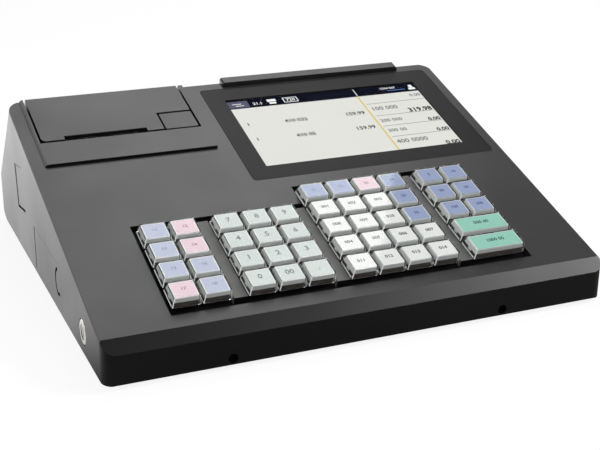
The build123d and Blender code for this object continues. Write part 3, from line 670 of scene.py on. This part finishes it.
def skin(form, rings, highlight_faces=()):
    """Close a solid over the rings, first to last, both ends capped.

    highlight_faces gives, after each ring, the faces that take the second material.
    """
    rows = [[form.verts.new(point) for point in ring] for ring in rings]
    for number, (lower, upper) in enumerate(zip(rows, rows[1:])):
        for i, face in enumerate(band(form, lower, upper)):
            face.material_index = int(number < len(highlight_faces) and i in highlight_faces[number])
    form.faces.new(rows[0])
    form.faces.new(rows[-1])


def add_print(form, text, middle, height, thickness, material_index, bold, align="CENTER"):
    """Printed figures, standing on the point middle, their tops towards the rear."""
    curve = bpy.data.curves.new("figures", "FONT")
    curve.body = text
    curve.size = height / font_figure_height
    curve.align_x = align
    curve.align_y = "CENTER"
    curve.resolution_u = 2
    curve.offset = bold * height
    curve.extrude = thickness / 2
    holder = bpy.data.objects.new("figures", curve)
    scene.collection.objects.link(holder)
    mesh = evaluated_mesh(holder)
    bpy.data.objects.remove(holder)
    mesh.transform(Matrix.Translation(middle + Vector((0, 0, thickness / 2))))
    for face in mesh.polygons:
        face.material_index = material_index
    form.from_mesh(mesh)
    bpy.data.meshes.remove(mesh)


def placed(name, form, materials, matrix=Matrix()):
    """The finished form as a piece whose place is in its mesh, faces outwards."""
    bmesh.ops.recalc_face_normals(form, faces=form.faces)
    form.transform(matrix)
    return link_mesh(name, mesh_of(name, form), materials)


def key_cells(node):
    """Each cell of a key node in deck coordinates: middle x, middle s, width at the skirt."""
    points = [to_deck @ vert.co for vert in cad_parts[node].data.vertices]
    skirt = [point for point in points if abs(point.z + key_sink) < 0.1 * MM]
    left, right = min(p.x for p in skirt), max(p.x for p in skirt)
    front, rear = min(p.y for p in skirt), max(p.y for p in skirt)
    middles = {round((front + key_depth / 2) / MM, 2), round((rear - key_depth / 2) / MM, 2)}
    return [((left + right) / 2, middle * MM, right - left) for middle in sorted(middles, reverse=True)]


cap_clear = clear_plastic("cap clear", (0.985, 0.99, 0.985), 0.05, 1.22)
# painted highlight: a pale opaque material on the cap's corners and lower sides for the light that clear
# edges catch
cap_painted_highlight = moulded("cap painted edge highlight", (0.86, 0.88, 0.88), (0.92, 0.93, 0.93), 0.35, 0.1)
plunger_white = moulded("plunger white", (0.74, 0.76, 0.75), (0.80, 0.82, 0.81), 0.5, 0.1)
# partly painted shade: the socket and stem take a dark grey-brown that is partly their own grey and partly
# the shade inside the cap
socket_grey_and_shade = moulded("socket grey and painted shade", (0.060, 0.052, 0.046), (0.075, 0.066, 0.058), 0.6, 0.1)


def label_paper(name, colour):
    """Coloured label paper with a faint fibre."""
    return moulded(name, colour, shade(colour, 0.97), 0.75, 0.1, 2200.0, 0.004)


# name and colour of the paper, its ink, and the figures' height in millimetres, by material slot
label_looks = {
    "pale_blue_key": ("label pale blue", (0.44, 0.48, 0.64), (0.14, 0.17, 0.33), 2.6),
    "blue_key": ("label blue", (0.31, 0.37, 0.57), (0.08, 0.10, 0.24), 2.6),
    "pink_key": ("label pink", (0.80, 0.58, 0.66), (0.38, 0.10, 0.17), 2.6),
    "pale_green_key": ("label pale green", (0.59, 0.65, 0.63), (0.12, 0.13, 0.14), 4.2),
    "white_key": ("label white", (0.88, 0.88, 0.87), (0.07, 0.072, 0.075), 2.7),
    "teal_key": ("label teal", (0.30, 0.62, 0.51), (0.03, 0.12, 0.09), 2.9),
}
label_papers = {slot: label_paper(name, paper) for slot, (name, paper, _, _) in label_looks.items()}
label_inks = {slot: label_paper("ink of " + slot, ink) for slot, (_, _, ink, _) in label_looks.items()}
print_bold = 0.045
family_slots = {
    "function": "pale_blue_key", "department": "blue_key", "payment": "blue_key", "item": "white_key",
    "number": "pale_green_key", "subtotal": "teal_key", "total": "teal_key",
}
pink_keys = ("function_2", "function_4", "function_7", "department_3")
payment_values = ("5", "10", "20", "50", "100", "200")
figures_from = {"function": 10, "department": 20}
wide_figures = {"subtotal": "500 00", "total": "1000 00"}
second_item_row = 7
# faces of a cap between two rings that take the painted highlight: its left and right sides, and the middles
# of its corners
side_faces = (7, 15)
corner_faces = (1, 5, 9, 13)


def key_figures(family, number):
    """What is printed on each cell of a key, from the rearmost forwards."""
    if family in figures_from:
        return [str(figures_from[family] + int(number))]
    if family == "payment":
        return [payment_values[int(number) - 1]]
    if family == "item":
        return [f"{int(number):03d}", f"{int(number) + second_item_row:03d}"]
    if family == "number":
        return ["." if number == "point" else number]
    return [wide_figures[family]]


def build_key(node):
    """The clear cap and the plunger with its label for every cell of one key node."""
    title = node.removeprefix("key_")
    family, _, number = title.partition("_")
    slot = "pink_key" if title in pink_keys else family_slots[family]
    figure_height = label_looks[slot][-1] * MM
    cap, core = bmesh.new(), bmesh.new()
    inner_radius = cap_corner - 0.5 * cap_wall
    core_inset = cap_wall + plunger_gap
    skirt = -key_sink
    roof = key_rise - cap_roof - plunger_gap - label_thickness - print_thickness
    plunger_front = roof - plunger_depth_at_front
    cheek_bottom = skirt + cheek_lift
    for (x, s, width), text in zip(key_cells(node), key_figures(family, number)):
        half = width / 2
        top_half = half - key_top_inset

        def across(n, inset):
            """Half width, half depth and middle of the cap's section at height n."""
            share = (key_rise - n) / (key_rise + key_sink)
            half_x = top_half + share * (half - top_half) - inset
            half_s = key_top_depth / 2 + share * (key_depth - key_top_depth) / 2 - inset
            return half_x, half_s, s - key_top_forward * (1 - share)

        def ring(n, inset, radius):
            half_x, half_s, mid = across(n, inset)
            outline = rounded(x - half_x, x + half_x, mid - half_s, mid + half_s, radius, cap_corner_steps)
            return [(px, ps, n) for px, ps in outline]

        def core_box(at, inset, low, high, material_index):
            """A box as large as the cap's section at one height, less the inset."""
            half_x, half_s, mid = across(at, inset)
            add_box(core, x - half_x, x + half_x, mid - half_s, mid + half_s, low, high, material_index)

        skin(cap, [
            ring(key_rise - cap_roof, cap_wall, inner_radius),
            ring(skirt, cap_wall, inner_radius),
            ring(skirt, 0, cap_corner),
            ring(skirt + cap_highlight_band, 0, cap_corner),
            ring(key_rise - cap_top_round, 0, cap_corner),
            ring(key_rise - cap_top_fall, cap_top_fall, cap_corner),
            ring(key_rise, cap_top_round, cap_corner),
        ], highlight_faces=((), (), (*side_faces, *corner_faces), corner_faces))
        skin(core, [ring(roof, core_inset, inner_radius), ring(plunger_front, core_inset, inner_radius)])
        for side in (-1, 1):
            for top, bottom, half_length in (
                (plunger_front, cheek_bottom, key_depth / 2 - cap_wall - cheek_set_back),
                (cheek_bottom, skirt + cap_highlight_band, cheek_rib_width / 2),
            ):
                cheek = []
                for n in (top, bottom):
                    half_x, _, mid = across(n, core_inset)
                    outside, inside = x + side * half_x, x + side * (half_x - cheek_thickness)
                    front, rear = mid - half_length, mid + half_length
                    cheek.append([
                        (inside, front, n), (outside, front, n), (outside, rear, n), (inside, rear, n),
                    ])
                skin(core, cheek)
        core_box(roof, core_inset + label_inset, roof, roof + label_thickness, 1)
        core_box(plunger_front, cap_wall + socket_inset, skirt + plunger_gap, plunger_front, 2)
        add_box(core, x - stem_half, x + stem_half, s - stem_half, s + stem_half,
                -stem_end, skirt + plunger_gap, 2)
        middle = Vector((x, s - key_top_forward + print_from_middle, roof + label_thickness))
        add_print(core, text, middle, figure_height, print_thickness, 3, print_bold)
    cap_piece = placed(node + "_cap", cap, [cap_clear, cap_painted_highlight], deck)
    core_paints = [plunger_white, label_papers[slot], socket_grey_and_shade, label_inks[slot]]
    core_piece = placed(node + "_core", core, core_paints, deck)
    for piece in (cap_piece, core_piece):
        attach(piece, node)
    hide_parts(node)


for key_node in sorted(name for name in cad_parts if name.startswith("key_")):
    if key_node not in ("key_plate", "key_spacers"):
        build_key(key_node)

# ------------------------ operator display
# A 7 inch liquid crystal module under a flat window. The window's border is printed in semi-matt
# dark grey, and its middle is clear. The picture holds plain figures only.
panel_middle = Vector((64.55, 184.75)) * MM
panel_lit = Vector((154.0, 86.0)) * MM
header_height = 11.0 * MM
divider_at = 0.665
picture_bottom = -1.5 * MM
picture_step = 0.03 * MM
window_corner = 3.0 * MM
panel_corner = 0.3 * MM
corner_steps = 6
edge_fall = 0.25 * MM
lens_gap = 0.1 * MM
lens_thickness = 1.3 * MM


def backlight_group():
    """The colour of a lit area, uneven as a backlight is."""
    group, given, result = node_group(
        "backlight", "ShaderNodeTree",
        {"Dim Colour": "Color", "Bright Colour": "Color"}, {"Colour": "Color"},
    )
    place = add_node(group, "ShaderNodeTexCoord")
    cloud = add_node(group, "ShaderNodeTexNoise", Scale=9.0)
    blend = add_blend(group)
    join(
        group,
        (place, "Object", cloud, "Vector"),
        (cloud, "Fac", blend, "Factor"),
        (given, "Dim Colour", blend, "A"),
        (given, "Bright Colour", blend, "B"),
        (blend, "Result", result, "Colour"),
    )
    return group


backlight = backlight_group()


def lit(name, colour):
    """A lit area of a display: its own light on a black face."""
    material, tree, shader = new_material(name)
    set_inputs(shader, Base_Color=(0.002, 0.002, 0.002), Roughness=0.5, Specular_IOR_Level=0.0,
               Emission_Strength=1.0)
    light = add_group(tree, backlight, Dim_Colour=shade(colour, 0.95), Bright_Colour=shade(colour, 1.03))
    join(tree, (light, "Colour", shader, "Emission Color"))
    return material


border_grey = moulded("window border", (0.013, 0.013, 0.013), (0.017, 0.017, 0.017),
                      0.42, 0.08, 2600.0, 0.008, 1.17)
module_grey = metal("module frame", (0.50, 0.51, 0.53), 0.35)
dress("display_panel", module_grey)
lens_clear = clear_plastic("window clear", (0.97, 0.98, 0.97), 0.02, 1.015)
panel_x0, panel_s0 = panel_middle - panel_lit / 2
panel_x1, panel_s1 = panel_middle + panel_lit / 2
panel_edges = (panel_x0, panel_x1, panel_s0, panel_s1)
window_edges = (window_low.x, window_high.x, window_front, window_front + window_length)

border = bmesh.new()
rows = []
for (x0, x1, s0, s1), inset, radius, n in (
    (window_edges, 0, window_corner, -window_thickness),
    (window_edges, 0, window_corner, -edge_fall),
    (window_edges, edge_fall, window_corner, 0),
    (panel_edges, 0, panel_corner, 0),
    (panel_edges, 0, panel_corner, -window_thickness),
):
    outline = rounded(x0 + inset, x1 - inset, s0 + inset, s1 - inset, radius, corner_steps)
    rows.append([border.verts.new((px, ps, n)) for px, ps in outline])
for lower, upper in zip(rows, rows[1:] + rows[:1]):
    band(border, lower, upper)
border_piece = placed("window_border", border, [border_grey], deck)
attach(border_piece, "housing")
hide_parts("display_window")

lens = bmesh.new()
add_box(lens, panel_x0 + lens_gap, panel_x1 - lens_gap, panel_s0 + lens_gap, panel_s1 - lens_gap,
        -lens_thickness, 0)
lens_piece = placed("window_lens", lens, [lens_clear], deck)
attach(lens_piece, "housing")

picture = bmesh.new()
picture_paints = [
    lit("lit paper white", (0.80, 0.80, 0.76)),
    lit("lit header navy", (0.004, 0.0045, 0.014)),
    lit("lit tab violet", (0.11, 0.11, 0.17)),
    lit("lit white", (0.95, 0.96, 0.97)),
    lit("lit ink", (0.030, 0.030, 0.032)),
    lit("lit ink grey", (0.22, 0.22, 0.23)),
    lit("lit rule grey", (0.20, 0.21, 0.22)),
    lit("lit yellow", (0.70, 0.52, 0.20)),
    lit("lit pale yellow", (0.86, 0.80, 0.55)),
    lit("lit blue", (0.16, 0.26, 0.60)),
]
PAPER, NAVY, VIOLET, WHITE, INK, INK_GREY, RULE, YELLOW, PALE_YELLOW, BLUE = range(len(picture_paints))


def patch(u0, u1, v0, v1, layer, paint):
    """A flat area of the picture, in millimetres from the lit panel's lower left corner."""
    bottom = picture_bottom + layer * picture_step
    add_box(picture, panel_x0 + u0 * MM, panel_x0 + u1 * MM, panel_s0 + v0 * MM, panel_s0 + v1 * MM,
            bottom, bottom + picture_step, paint)


def figures(text, u, v, height, paint, align="CENTER", bold=0.03):
    """Plain figures in the picture, centred on the point, or starting or ending at it."""
    base = Vector((panel_x0 + u * MM, panel_s0 + v * MM, picture_bottom + 2 * picture_step))
    add_print(picture, text, base, height * MM, picture_step, paint, bold, align)


lit_width, lit_height = panel_lit / MM
header_bottom = lit_height - header_height / MM
divider_u = lit_width * divider_at
patch(0, lit_width, 0, header_bottom, 0, PAPER)
patch(0, lit_width, header_bottom, lit_height, 0, NAVY)
# the header's tab, its signs and its mark, as left, right, bottom and top, layer and paint
for u0, u1, v0, v1, layer, paint in (
    (1.0, 16.5, 1.2, 9.8, 1, VIOLET),
    (4.0, 11.0, 5.8, 6.5, 2, WHITE),
    (6.0, 12.5, 3.4, 4.1, 2, WHITE),
    (31.5, 38.5, 5.4, 8.6, 1, WHITE),
    (32.3, 37.7, 2.4, 4.6, 1, WHITE),
    (44.0, 55.5, 8.2, 8.9, 1, WHITE),
    (44.0, 55.5, 2.3, 3.0, 1, WHITE),
    (44.0, 44.7, 2.3, 8.9, 1, WHITE),
    (54.8, 55.5, 2.3, 8.9, 1, WHITE),
    (divider_u + 0.2, divider_u + 0.8, 0.6, 10.6, 1, WHITE),
    (129.5, 144.5, 3.6, 4.3, 1, BLUE),
    (149.0, 152.0, 5.4, 9.0, 1, WHITE),
    (147.6, 153.2, 2.4, 5.2, 1, WHITE),
):
    patch(u0, u1, header_bottom + v0, header_bottom + v1, layer, paint)
figures("21.1", 23.5, header_bottom + 4.6, 3.2, WHITE)
figures("720", 49.8, header_bottom + 5.5, 3.4, WHITE)
figures("1234 567", 131.0, header_bottom + 7.3, 2.5, WHITE)
for u0, u1, paint in ((-1.1, -0.5, PALE_YELLOW), (-0.5, 0.5, YELLOW), (0.5, 1.1, PALE_YELLOW)):
    patch(divider_u + u0, divider_u + u1, 0, header_bottom, 1, paint)
for v, item in ((53.6, "410 032"), (34.2, "410 05")):
    figures("1", 6.7, v, 3.6, INK)
    figures(item, 43.5, v - 0.6, 3.9, INK)
    figures("159.99", 98.5, v - 0.6, 4.2, INK, "RIGHT")
for v in (63.2, 46.6, 32.6, 18.4):
    patch(divider_u + 2.0, lit_width - 0.6, v, v + 0.45, 1, RULE)
figures("0.00", lit_width - 1.0, 69.5, 3.8, INK_GREY, "RIGHT")
for text, v, height in (("100 000", 56.2, 4.8), ("200 000", 39.8, 3.9), ("300 00", 26.4, 3.9),
                        ("400 0000", 11.8, 4.8)):
    figures(text, divider_u + 3.0, v, height, INK_GREY, "LEFT")
for text, v, height in (("319.98", 49.8, 5.2), ("0.00", 35.4, 4.2), ("0.00", 21.2, 4.2), ("0.00", 3.6, 4.8)):
    figures(text, lit_width - 1.0, v, height, INK, "RIGHT", 0.045)
picture_piece = placed("display_picture", picture, picture_paints, deck)
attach(picture_piece, "housing")

# ------------------------ receipt printer
# A drop-in thermal printer: a moulded tub with the print head in front, a rubber platen in the
# lid's ears, the paper roll on two pins, and a steel tear bar behind the pad's front lip.
dress("printer_lid", case_black)
dress("lid_button", case_black)
tub_grey = moulded("tub grey", (0.036, 0.031, 0.028), (0.048, 0.042, 0.038), 0.5, 0.12)
dress("print_unit", tub_grey)
platen_black = moulded("platen rubber", (0.042, 0.034, 0.029), (0.055, 0.046, 0.040),
                       0.7, 0.15, 1200.0, 0.04)
dress("platen_roller", platen_black)

steel = metal("tear bar steel", (0.42, 0.42, 0.43), 0.35, 300.0, (0.05, 1.0, 1.0))
tooth_pitch = 1.2 * MM
tear_bar_thickness = 0.35 * MM
tear_bar_depth = 2.5 * MM
tear_bar_rise = 0.9 * MM
tooth_half_width = 0.55  # of the pitch, so that the teeth meet
lid_front_s = 197.1 * MM
lip_width = 2.0 * MM
roll_low, roll_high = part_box("paper_roll")
roll_middle = (roll_low + roll_high) / 2


def comb_tree():
    """Geometry Nodes: a row of pointed teeth on a straight strip."""
    tree, given, result = node_group(
        "toothed strip", "GeometryNodeTree",
        {"Strip": "Geometry", "Teeth": "Int", "Pitch": "Float", "Thickness": "Float", "Finish": "Material"},
        {"Comb": "Geometry"},
    )
    row = add_node(tree, "GeometryNodeMeshLine")
    step = add_node(tree, "ShaderNodeCombineXYZ")
    tooth = add_node(tree, "GeometryNodeMeshCone", Vertices=4)
    flatten = add_node(tree, "GeometryNodeTransform")
    flatness = add_node(tree, "ShaderNodeCombineXYZ", X=1.0, Z=1.0)
    slim = add_math(tree, "DIVIDE")
    half = add_math(tree, "MULTIPLY", tooth_half_width)
    teeth = add_node(tree, "GeometryNodeInstanceOnPoints")
    both = add_node(tree, "GeometryNodeJoinGeometry")
    join(
        tree,
        (given, "Teeth", row, "Count"),
        (given, "Pitch", step, "X"),
        (step, "Vector", row, "Offset"),
        (given, "Pitch", half, 0),
        (half, 0, tooth, "Radius Bottom"),
        (given, "Pitch", tooth, "Depth"),
        (given, "Thickness", slim, 0),
        (given, "Pitch", slim, 1),
        (slim, 0, flatness, "Y"),
        (tooth, "Mesh", flatten, "Geometry"),
        (flatness, "Vector", flatten, "Scale"),
        (row, "Mesh", teeth, "Points"),
        (flatten, "Geometry", teeth, "Instance"),
        (teeth, "Instances", both, "Geometry"),
        (given, "Strip", both, "Geometry"),
    )
    end_tree(tree, given, both, "Geometry", result)
    return tree


tooth_count = int((roll_high.x - roll_low.x) / tooth_pitch)
tear_bar_length = (tooth_count - 1) * tooth_pitch
tear_bar = link_mesh("tear_bar", box_mesh(
    "tear_bar", 0, tear_bar_length, -tear_bar_thickness / 2, tear_bar_thickness / 2, -tear_bar_depth, 0,
))
grow(tear_bar, comb_tree(), Teeth=tooth_count, Pitch=tooth_pitch, Thickness=tear_bar_thickness, Finish=steel)
bar_s = lid_front_s - lip_width + tear_bar_thickness
bar_start = Vector((roll_middle.x - tear_bar_length / 2, bar_s, tear_bar_rise))
tear_bar.data.transform(deck @ Matrix.Translation(bar_start))
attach(tear_bar, "housing")

# ------------------------ paper roll
# Thermal receipt paper wound on a card core. The windings show as fine steps on both
# ends of the roll. It turns freely on the tub's two pins.
paper_white = moulded("receipt paper", (0.80, 0.80, 0.77), (0.86, 0.86, 0.83), 0.7, 0.1, 1800.0, 0.02)
card_brown = moulded("card core", (0.36, 0.27, 0.18), (0.44, 0.34, 0.24), 0.85, 0.1, 700.0, 0.05)
roll_radius = (roll_high.z - roll_low.z) / 2
roll_half = (roll_high.x - roll_low.x) / 2
core_bore = 6.0 * MM
core_outer = 7.6 * MM
core_skin = core_outer - 0.02 * MM
winding_count = 36
winding_step = 0.12 * MM


def turned_ring(form, profile, material_index, steps=64):
    """A closed ring about X from a closed (radius, x) profile."""
    rows = []
    for step in range(steps):
        angle = 2 * pi * step / steps
        rows.append([form.verts.new((x, radius * cos(angle), radius * sin(angle))) for radius, x in profile])
    for row, after in zip(rows, rows[1:] + rows[:1]):
        for face in band(form, row, after):
            face.material_index = material_index


roll = bmesh.new()
ends = []
for winding in range(winding_count + 1):
    radius = core_outer + (roll_radius - core_outer) * winding / winding_count
    ends.append((radius, roll_half - (winding_step if winding % 2 else 0)))
turned_ring(roll, ends + [(radius, -x) for radius, x in reversed(ends)], 0)
turned_ring(roll, [(core_bore, -roll_half), (core_bore, roll_half), (core_skin, roll_half),
                   (core_skin, -roll_half)], 1, 48)
roll_piece = placed("receipt_roll", roll, [paper_white, card_brown], Matrix.Translation(roll_middle))
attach(roll_piece, "paper_roll")
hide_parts("paper_roll")

# ------------------------ customer display
# A flat moulded mast that slides up behind the deck. Its rear has a smoked window with one
# row of lit seven-bar figures for the customer.
dress("customer_display", case_black)
mast_low, mast_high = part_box("customer_display")
mast_height = 52.0 * MM
mast_margin = 8.0 * MM
pane_height = 24.0 * MM
pane_thickness = 0.7 * MM
pane_recess = 1.2 * MM
pane_gap = 0.2 * MM
pane_top = mast_low.z + mast_height - mast_margin
pane_back = mast_high.y - pane_recess
pane_face = pane_back + pane_thickness
bar_length = 7.0 * MM
bar_width = 1.3 * MM
bar_relief = 0.1 * MM
figure_pitch = 11.5 * MM
shown_figures = "11998"
bars_of = {"1": "bc", "8": "abcdefg", "9": "abcdfg"}
# each bar's place across and up from the figure's middle in bar lengths, and whether it is level
bar_places = {
    "a": (0, 1, True), "g": (0, 0, True), "d": (0, -1, True),
    "f": (-0.5, 0.5, False), "b": (0.5, 0.5, False), "e": (-0.5, -0.5, False), "c": (0.5, -0.5, False),
}
pane_dark = moulded("smoked pane", (0.006, 0.007, 0.007), (0.008, 0.009, 0.009), 0.12, 0.04, 2000.0, 0.002)
pane = bmesh.new()
add_box(pane, mast_low.x + mast_margin + pane_gap, mast_high.x - mast_margin - pane_gap,
        pane_back, pane_face, pane_top - pane_height + pane_gap, pane_top - pane_gap)
for position, figure in enumerate(shown_figures):
    figure_x = (mast_low.x + mast_high.x) / 2 - (position - len(shown_figures) // 2) * figure_pitch
    for bar_name in bars_of[figure]:
        across_bar, up_bar, is_level = bar_places[bar_name]
        bar_x = figure_x - across_bar * bar_length
        bar_z = pane_top - pane_height / 2 + up_bar * bar_length
        long_half, short_half = (bar_length - bar_width) / 2, bar_width / 2
        half_x, half_z = (long_half, short_half) if is_level else (short_half, long_half)
        add_box(pane, bar_x - half_x, bar_x + half_x, pane_face - bar_relief, pane_face + bar_relief,
                bar_z - half_z, bar_z + half_z, 1)
pane_piece = placed("customer_readout", pane, [pane_dark, lit("lit readout", (0.35, 0.85, 0.75))])
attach(pane_piece, "customer_display")

# ------------------------ lock
# A nickel-chromed cam lock in the left wall. Its flush head is fixed in the wall, and the plug
# with the key slot turns in it by a quarter.
chrome = metal("bright chrome", (0.46, 0.45, 0.41), 0.18, 500.0)
plug_steel = metal("plug nickel", (0.46, 0.45, 0.42), 0.28, 600.0)
dress("lock_barrel", chrome)
dress("lock_plug", plug_steel)

# ------------------------ side cover and card door
# Two small covers of the same black plastic in the left wall. The side cover pulls out, and the
# card door turns on two pins.
dress("side_cover", case_black)
dress("port_door", case_black)

# ------------------------ main board
# A green circuit board on four standoffs with black sockets at its rear edge and a scatter of
# soldered parts. It is seen only through the rear openings and the floor vents.
board_low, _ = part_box("main_board")
board_top = 20.0 * MM
part_columns, part_rows = 7, 6
first_part = Vector((18.0, 14.0)) * MM
part_pitch = Vector((21.0, 19.0)) * MM
solder_green = moulded("solder mask", (0.015, 0.10, 0.045), (0.020, 0.14, 0.065), 0.35, 0.1, 500.0, 0.03)
socket_black = (0.012, 0.012, 0.012)
socket_border = board_top + 0.05 * MM
chip_black = moulded("chip black", (0.016, 0.016, 0.017), (0.022, 0.022, 0.023), 0.5, 0.1)
recolour(solder_green, (0, 0, 1), socket_border, socket_black)
dress("main_board", solder_green)
part_seats = [
    (board_low.x + first_part.x + part_pitch.x * column, board_low.y + first_part.y + part_pitch.y * row,
     board_top)
    for row in range(part_rows) for column in range(part_columns)
]


def scatter_tree():
    """Geometry Nodes: a flat block of random size on each seat."""
    tree, given, result = node_group(
        "soldered parts", "GeometryNodeTree",
        {"Seats": "Geometry", "Smallest": "Vector", "Largest": "Vector", "Seed": "Int",
         "Finish": "Material"},
        {"Parts": "Geometry"},
    )
    block = add_node(tree, "GeometryNodeMeshCube")
    lift = add_node(tree, "GeometryNodeTransform", Translation=(0, 0, 0.5))
    size = tree.nodes.new("FunctionNodeRandomValue")
    size.data_type = "FLOAT_VECTOR"
    parts = add_node(tree, "GeometryNodeInstanceOnPoints")
    join(
        tree,
        (block, "Mesh", lift, "Geometry"),
        (given, "Smallest", size, "Min"),
        (given, "Largest", size, "Max"),
        (given, "Seed", size, "Seed"),
        (given, "Seats", parts, "Points"),
        (lift, "Geometry", parts, "Instance"),
        (size, 0, parts, "Scale"),
    )
    end_tree(tree, given, parts, "Instances", result)
    return tree


soldered = link_mesh("soldered_parts", point_mesh("part_seats", part_seats))
grow(soldered, scatter_tree(), Smallest=(3 * MM, 2 * MM, 0.8 * MM), Largest=(15 * MM, 12 * MM, 3.5 * MM),
     Seed=11, Finish=chip_black)
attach(soldered, "housing")
